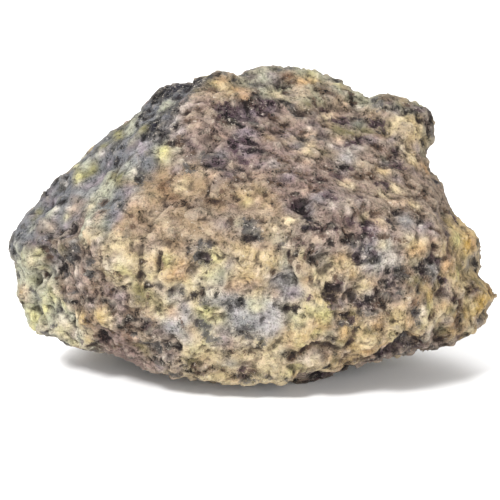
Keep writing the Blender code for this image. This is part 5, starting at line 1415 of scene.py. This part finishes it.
# %% [markdown]
# ## The shader
# Shader nodes are easier to read as arithmetic. A wire is one socket, and the signs + - * / on it add the
# Math node of that name.

# %% Arithmetic on sockets


class Wire:
    """One output of a shader node. Arithmetic on it adds Math nodes to its bench."""

    def __init__(self, bench, socket):
        self.bench = bench
        self.socket = socket

    def math(self, operation, *values_in):
        return self.bench.node("ShaderNodeMath", {"operation": operation}, dict(enumerate(values_in)))

    def __add__(self, other):
        return self.math("ADD", self, other)

    __radd__ = __add__

    def __sub__(self, other):
        return self.math("SUBTRACT", self, other)

    def __rsub__(self, other):
        return self.math("SUBTRACT", other, self)

    def __mul__(self, other):
        return self.math("MULTIPLY", self, other)

    __rmul__ = __mul__

    def __truediv__(self, other):
        return self.math("DIVIDE", self, other)

    def __rtruediv__(self, other):
        return self.math("DIVIDE", other, self)

    def at_most(self, limit):
        return self.math("MINIMUM", self, limit)

    def clamp(self):
        return self.math("MAXIMUM", self, 0.0).at_most(1.0)


class Bench:
    """A material's nodes. node() adds one and returns the output asked for."""

    def __init__(self, name):
        self.material = bpy.data.materials.new(name)
        self.material.use_nodes = True
        self.tree = self.material.node_tree
        self.shader = self.tree.nodes["Principled BSDF"]

    def node(self, kind, settings=None, sockets=None, output=0):
        made = self.tree.nodes.new(kind)
        for name, value in (settings or {}).items():
            setattr(made, name, value)
        for name, value in (sockets or {}).items():
            self.put(made.inputs[name], value)
        return Wire(self, made.outputs[output])

    def put(self, socket, value):
        """Link a wire to a socket, or set the socket's own value."""
        if isinstance(value, Wire):
            self.tree.links.new(value.socket, socket)
        else:
            socket.default_value = value

    def mix(self, share, low, high, blend="MIX"):
        """One colour laid over another."""
        low = (*low, 1.0) if isinstance(low, tuple) and len(low) == 3 else low
        high = (*high, 1.0) if isinstance(high, tuple) and len(high) == 3 else high
        settings = {"data_type": "RGBA", "blend_type": blend}
        return self.node("ShaderNodeMix", settings, {0: share, 6: low, 7: high}, 2)

    def vector_math(self, operation, sockets):
        """A sum, difference or scaling of places."""
        return self.node("ShaderNodeVectorMath", {"operation": operation}, sockets)

    def number(self, name):
        """A number stored on the net."""
        return self.node("ShaderNodeAttribute", {"attribute_name": name}, None, "Fac")

    def colour(self, name):
        """A colour stored on the net."""
        return self.node("ShaderNodeAttribute", {"attribute_name": name}, None, "Color")

    def wander(self, place, size, detail=2.0, output="Fac"):
        """Soft noise that changes over about this size in millimetres."""
        sockets = {"Vector": place, "Scale": 1.0 / (size * MM), "Detail": detail, "Roughness": 0.6}
        return self.node("ShaderNodeTexNoise", None, sockets, output)

# %% [markdown]
# ## Rock under a lens
# Within a patch the rock is still a mosaic of grains, too fine for the net, so the shader makes them. A
# Voronoi texture gives every grain a tone, a tint and a gloss of its own, and five noises, from three
# millimetres down to a third of one, make the rock uneven at every size. It was squeezed when it formed, so
# grains and most noises are flattened across the layers, which shows as streaks.

# %% Grains and noises of the rock
DRIFT_SIZE = 1.1
DRIFT = 0.9
FLATTENED = 0.45
GRAIN_WIDTH = 0.9
# where each noise is read, its size in mm and its detail
NOISES = {
    "broad": ("layered", 3.4, 4.0),
    "middle": ("layered", 1.5, 3.0),
    "strokes": ("layered", 0.8, 2.0),
    "fine": ("wavy", 0.6, 3.0),
    "crumb": ("wavy", 0.3, 2.0),
}


def rock_places(bench):
    """Two places to read textures at: a wavy one, and one that is also flattened across the layers."""
    place = bench.node("ShaderNodeTexCoord", None, None, "Object")
    drift = bench.wander(place, DRIFT_SIZE, 2.0, "Color")
    shift = bench.vector_math("SUBTRACT", {0: drift, 1: (0.5, 0.5, 0.5)})
    shift = bench.vector_math("SCALE", {0: shift, "Scale": DRIFT * MM})
    wavy = bench.vector_math("ADD", {0: place, 1: shift})
    tilt = FOLIATION.to_track_quat("Z", "Y").to_euler()
    sockets = {"Vector": wavy, "Rotation": tilt[:], "Scale": (1.0, 1.0, FLATTENED)}
    return {"wavy": wavy, "layered": bench.node("ShaderNodeMapping", {"vector_type": "TEXTURE"}, sockets)}


def rock_noises(bench, places):
    """The noises of the rock, each from about -0.5 to 0.5."""
    return [bench.wander(places[read_at], size, detail) - 0.5 for read_at, size, detail in NOISES.values()]


def grain_numbers(bench, layered):
    """Three numbers from 0 to 1 that each grain has for itself: its tone, its tint and its gloss."""
    sockets = {"Vector": layered, "Scale": 1.0 / (GRAIN_WIDTH * MM)}
    cells = bench.node("ShaderNodeTexVoronoi", None, sockets, "Color")
    split = bench.node("ShaderNodeSeparateColor", None, {0: cells}).socket.node
    return [Wire(bench, socket) for socket in split.outputs]

# %% [markdown]
# ## The finish, coat by coat
# The stored colour comes first, with the dark minerals over it up to a ragged edge. The grains make it
# ripple, most where many are dark. Dark flecks lie where the noises run low against the share of dark grains,
# and pale ones where they run high against the share of pale grains. Last come painted shade along the seams
# round the lumps, dust and painted shade in the hollows, shade in the cracks and edges rubbed bright. A fine
# bump follows the same grains.

# %% Granulite material
RIPPLE_TOP = 1.18
DARK_FLECK = (0.1, 0.1, 0.1)
PALE_FLECK = paint(200, 190, 176)
# painted shade: the dark brown laid along the seams between the lumps, where the crevices fall into shade
SEAM_PAINTED_SHADE = paint(66, 52, 42)
# dust, and painted shade: the dark colour laid into the hollows
HOLLOW_DUST_AND_SHADE = paint(40, 32, 32)
CRACK_SHADE = paint(40, 32, 30)
RUBBED_EDGE = paint(228, 214, 192)
REDDER_GRAIN = paint(246, 241, 241)
GREENER_GRAIN = paint(243, 243, 237)
REFLECTANCE = 0.2
DULL = 0.85
GLOSSIEST = 0.4
BUMP_STRENGTH = 0.9
BUMP_DEPTH = 0.3


def granulite_material():
    bench = Bench("granulite_surface")
    places = rock_places(bench)
    tone, tint, gloss = grain_numbers(bench, places["layered"])
    broad, middle, strokes, fine, crumb = rock_noises(bench, places)

    edge = bench.number("dark_depth") + (tone - 0.5) * 0.5 + fine * 1.4 + middle * 1.2 + crumb * 0.8 + 0.05
    in_dark = (edge / 0.3 + 0.5).clamp()
    rock = bench.mix(in_dark * 0.9, bench.colour("rock"), bench.colour("dark_rock"))
    coarse = bench.number("dark_share") * 3.6 + 0.25
    small = middle * 0.6 + fine * 2.0 + crumb * 1.5 + (tone - 0.5) * 0.2
    ripple = (1.0 + broad * 1.5 + middle * 1.4 + small * coarse).at_most(RIPPLE_TOP)
    grey = bench.node("ShaderNodeCombineColor", None, {0: ripple, 1: ripple, 2: ripple})
    rock = bench.mix(1.0, rock, grey, "MULTIPLY")
    rock = bench.mix(1.0, rock, bench.mix(tint, REDDER_GRAIN, GREENER_GRAIN), "MULTIPLY")

    share = bench.number("dark_share") * 0.6 - 0.26
    is_dark = ((share - middle * 0.4 - strokes * 0.7 - fine * 0.5 - crumb * 0.4) * 12.0).clamp()
    rock = bench.mix(is_dark * 0.85, rock, bench.mix(1.0, rock, DARK_FLECK, "MULTIPLY"))
    share = bench.number("pale_share") * 0.5 - 0.26
    is_pale = ((share + broad * 0.3 + strokes * 1.1 + fine * 0.4 + crumb * 0.2) * 10.0).clamp()
    rock = bench.mix(is_pale * 0.55, rock, PALE_FLECK)

    # painted shade along the seams round the lumps
    painted_seam_shade = ((bench.number("seam") - 0.75 + fine * 1.2 + middle * 1.6) * 5.0).clamp()
    rock = bench.mix(painted_seam_shade * 0.6, rock, SEAM_PAINTED_SHADE)
    # dust and painted shade in the hollows
    dusty_and_shaded = (bench.number("hollow") * 3.2 - 0.15).clamp()
    rock = bench.mix(dusty_and_shaded * 0.7, rock, HOLLOW_DUST_AND_SHADE)
    rock = bench.mix(bench.number("shade") * 0.8, rock, CRACK_SHADE)
    rubbed = (bench.number("hollow") * -2.4 - 0.1).clamp()
    rock = bench.mix(rubbed * 0.2, rock, RUBBED_EDGE)

    bench.put(bench.shader.inputs["Base Color"], rock)
    bench.put(bench.shader.inputs["Specular IOR Level"], REFLECTANCE)
    bench.put(bench.shader.inputs["Roughness"], DULL - GLOSSIEST * (gloss * gloss * gloss))
    height = tone * 0.7 + middle * 1.6 + fine * 2.0 + crumb * 0.8 - is_dark * 0.4 - in_dark * 0.3
    sockets = {"Strength": BUMP_STRENGTH, "Distance": BUMP_DEPTH * MM, "Height": height}
    bench.put(bench.shader.inputs["Normal"], bench.node("ShaderNodeBump", None, sockets))
    print("the material has", len(bench.tree.nodes), "nodes")
    return bench.material


stone.data.materials.clear()
stone.data.materials.append(granulite_material())
stone.data.shade_smooth()
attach(stone, "root")
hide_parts("granulite")

# %% [markdown]
# ## Table and light
# A soft lamp from the upper left front gives the faces their form, as in a specimen photograph. A wide low
# one in front lights the undercut, a third whitens the pale table, and a plain sky fills the shadows.

# %% Floor
TABLE_SIZE = 6.0
TABLE_WHITE = (0.94, 0.94, 0.94, 1.0)

bpy.ops.object.select_all(action="DESELECT")
bpy.ops.mesh.primitive_plane_add(size=TABLE_SIZE)
floor = bpy.context.object
floor.name = "floor"
floor_bench = Bench("pale_table")
floor_bench.put(floor_bench.shader.inputs["Base Color"], TABLE_WHITE)
floor_bench.put(floor_bench.shader.inputs["Roughness"], 0.9)
floor.data.materials.append(floor_bench.material)
print("table", TABLE_SIZE, "m wide")

# %% Lights
LAMPS_AIM = Vector((0.0, 0.0, 0.03))
SKY_STRENGTH = 0.57


def soft_light(name, place, size, power):
    """A square lamp aimed at the stone's middle. Place and size are in metres, power in watts."""
    lamp = bpy.data.objects.new(name, bpy.data.lights.new(name, "AREA"))
    bpy.context.scene.collection.objects.link(lamp)
    lamp.location = place
    lamp.rotation_euler = (LAMPS_AIM - lamp.location).to_track_quat("-Z", "Y").to_euler()
    lamp.data.size = size
    lamp.data.energy = power
    print(name, "of", power, "W")


soft_light("key_light", (-0.45, -0.55, 0.75), 0.22, 10.4)
soft_light("fill_light", (0.2, -0.85, 0.2), 0.6, 6.0)
soft_light("floor_light", (0.0, 1.3, 1.4), 1.2, 30.0)
world = bpy.data.worlds.new("studio")
world.use_nodes = True
world.node_tree.nodes["Background"].inputs["Color"].default_value = (1.0, 1.0, 1.0, 1.0)
world.node_tree.nodes["Background"].inputs["Strength"].default_value = SKY_STRENGTH
bpy.context.scene.world = world
bpy.context.scene.view_settings.view_transform = "Standard"
